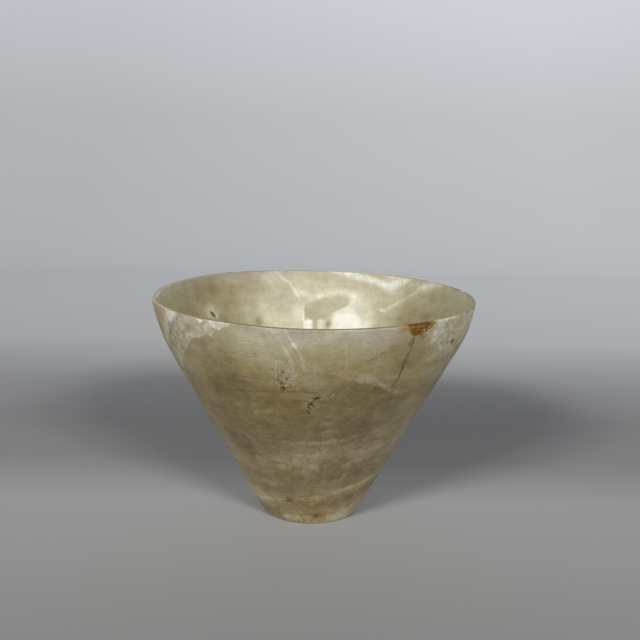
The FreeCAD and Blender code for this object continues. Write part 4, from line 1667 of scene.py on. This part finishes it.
def paper_material():
    """Paper whose colour, with its painted light falloff and painted shadow, follows its points' places along
    the stage, and is painted a little paler to the right.
    """
    g = Graph("backdrop_paper_with_painted_light")
    first, last = paper_reach
    along = g.step(g.attribute("along"), first, last, kind="LINEAR")
    stops = [((place - first) / (last - first), colour) for place, colour in paper_colours_with_painted_light]
    colour = g.ramp(along, stops)
    side = g.step(g.along("X"), -shade_reach, shade_reach, left_shade, right_shade, "LINEAR")
    rise = g.step(g.attribute("along"), *shade_start)
    shade = g.mix_number(rise, 1.0, side)
    joined = g.add("ShaderNodeCombineColor")
    for socket in joined.inputs[:3]:
        g.feed(socket, shade)
    g.feed(g.shader.inputs["Base Color"], g.mix(1.0, colour, joined.outputs[0], "MULTIPLY"))
    g.shader.inputs["Roughness"].default_value = paper_roughness
    return g.material


def stage():
    line = [(place, 0.0, place) for place in (floor_front, near_front, 0.0, curve_start)]
    for step in range(1, curve_steps + 1):
        turn = math.pi / 2 * step / curve_steps
        y = curve_start + curve_radius * math.sin(turn)
        line.append((y, curve_radius * (1 - math.cos(turn)), curve_start + curve_radius * turn))
    end = line[-1]
    line.append((end[0], backdrop_top, end[2] + backdrop_top - end[1]))
    points = []
    along = []
    for y, z, place in line:
        points += [(-floor_half_width, y, z), (floor_half_width, y, z)]
        along += [place, place]
    faces = [(2 * i, 2 * i + 1, 2 * i + 3, 2 * i + 2) for i in range(len(line) - 1)]
    mesh = bpy.data.meshes.new("backdrop")
    mesh.from_pydata(points, [], faces)
    mesh.polygons.foreach_set("use_smooth", [True] * len(faces))
    mesh.attributes.new("along", "FLOAT", "POINT").data.foreach_set("value", along)
    mesh.materials.append(paper_material())
    linked("backdrop", mesh)


def camera():
    data = bpy.data.cameras.new("camera")
    data.sensor_width = sensor_width
    data.lens = focal_pixels / photo_width * sensor_width
    piece = linked("camera", data)
    pitch = math.radians(camera_pitch)
    roll = math.radians(camera_roll)
    forward = Vector((0, math.cos(pitch), -math.sin(pitch)))
    right = Vector((1, 0, 0))
    up = right.cross(forward)
    rolled_right = right * math.cos(roll) + up * math.sin(roll)
    rolled_up = up * math.cos(roll) - right * math.sin(roll)
    turned = Matrix((rolled_right, rolled_up, -forward)).transposed().to_4x4()
    piece.matrix_world = Matrix.Translation(Vector(camera_place) * mm) @ turned
    bpy.context.scene.camera = piece


# Lamps: name, azimuth, elevation and power, then how far off they are and how large
lamps = (("left_lamp", -31.0, 31.2, 27.2), ("right_lamp", 27.0, 29.4, 24.2))
lamp_distance = 2.0
lamp_width, lamp_tall = 0.55, 0.28
room_colour = (0.8, 0.85, 0.9, 1)
room_strength = 0.04


def lamp(name, azimuth, elevation, power):
    """A soft lamp that looks at the cup. Its azimuth counts from the front towards +X."""
    data = bpy.data.lights.new(name, "AREA")
    data.shape = "RECTANGLE"
    data.size = lamp_width
    data.size_y = lamp_tall
    data.energy = power
    turn = math.radians(azimuth)
    rise = math.radians(elevation)
    away = Vector((math.sin(turn) * math.cos(rise), -math.cos(turn) * math.cos(rise), math.sin(rise)))
    turned = away.to_track_quat("Z", "Y").to_matrix().to_4x4()
    linked(name, data).matrix_world = Matrix.Translation(away * lamp_distance) @ turned


def lights():
    for setting in lamps:
        lamp(*setting)
    world = bpy.data.worlds.new("room")
    bpy.context.scene.world = world
    world.use_nodes = True
    background = world.node_tree.nodes["Background"]
    background.inputs["Color"].default_value = room_colour
    background.inputs["Strength"].default_value = room_strength


stone = new_piece("stone_cup", stone_mesh(), "stone_body")
painted(stone)
stone.data.materials.append(stone_material())
fill = new_piece("amber_fill", fill_mesh(), "rim_fill")
fill_painted(fill)
fill.data.materials.append(amber_material())
seam = new_piece("crack_seam", seam_mesh(), "crack_resin")
seam.data.materials.append(seam_material())
stage()
camera()
lights()
bpy.context.scene.view_settings.view_transform = "Standard"
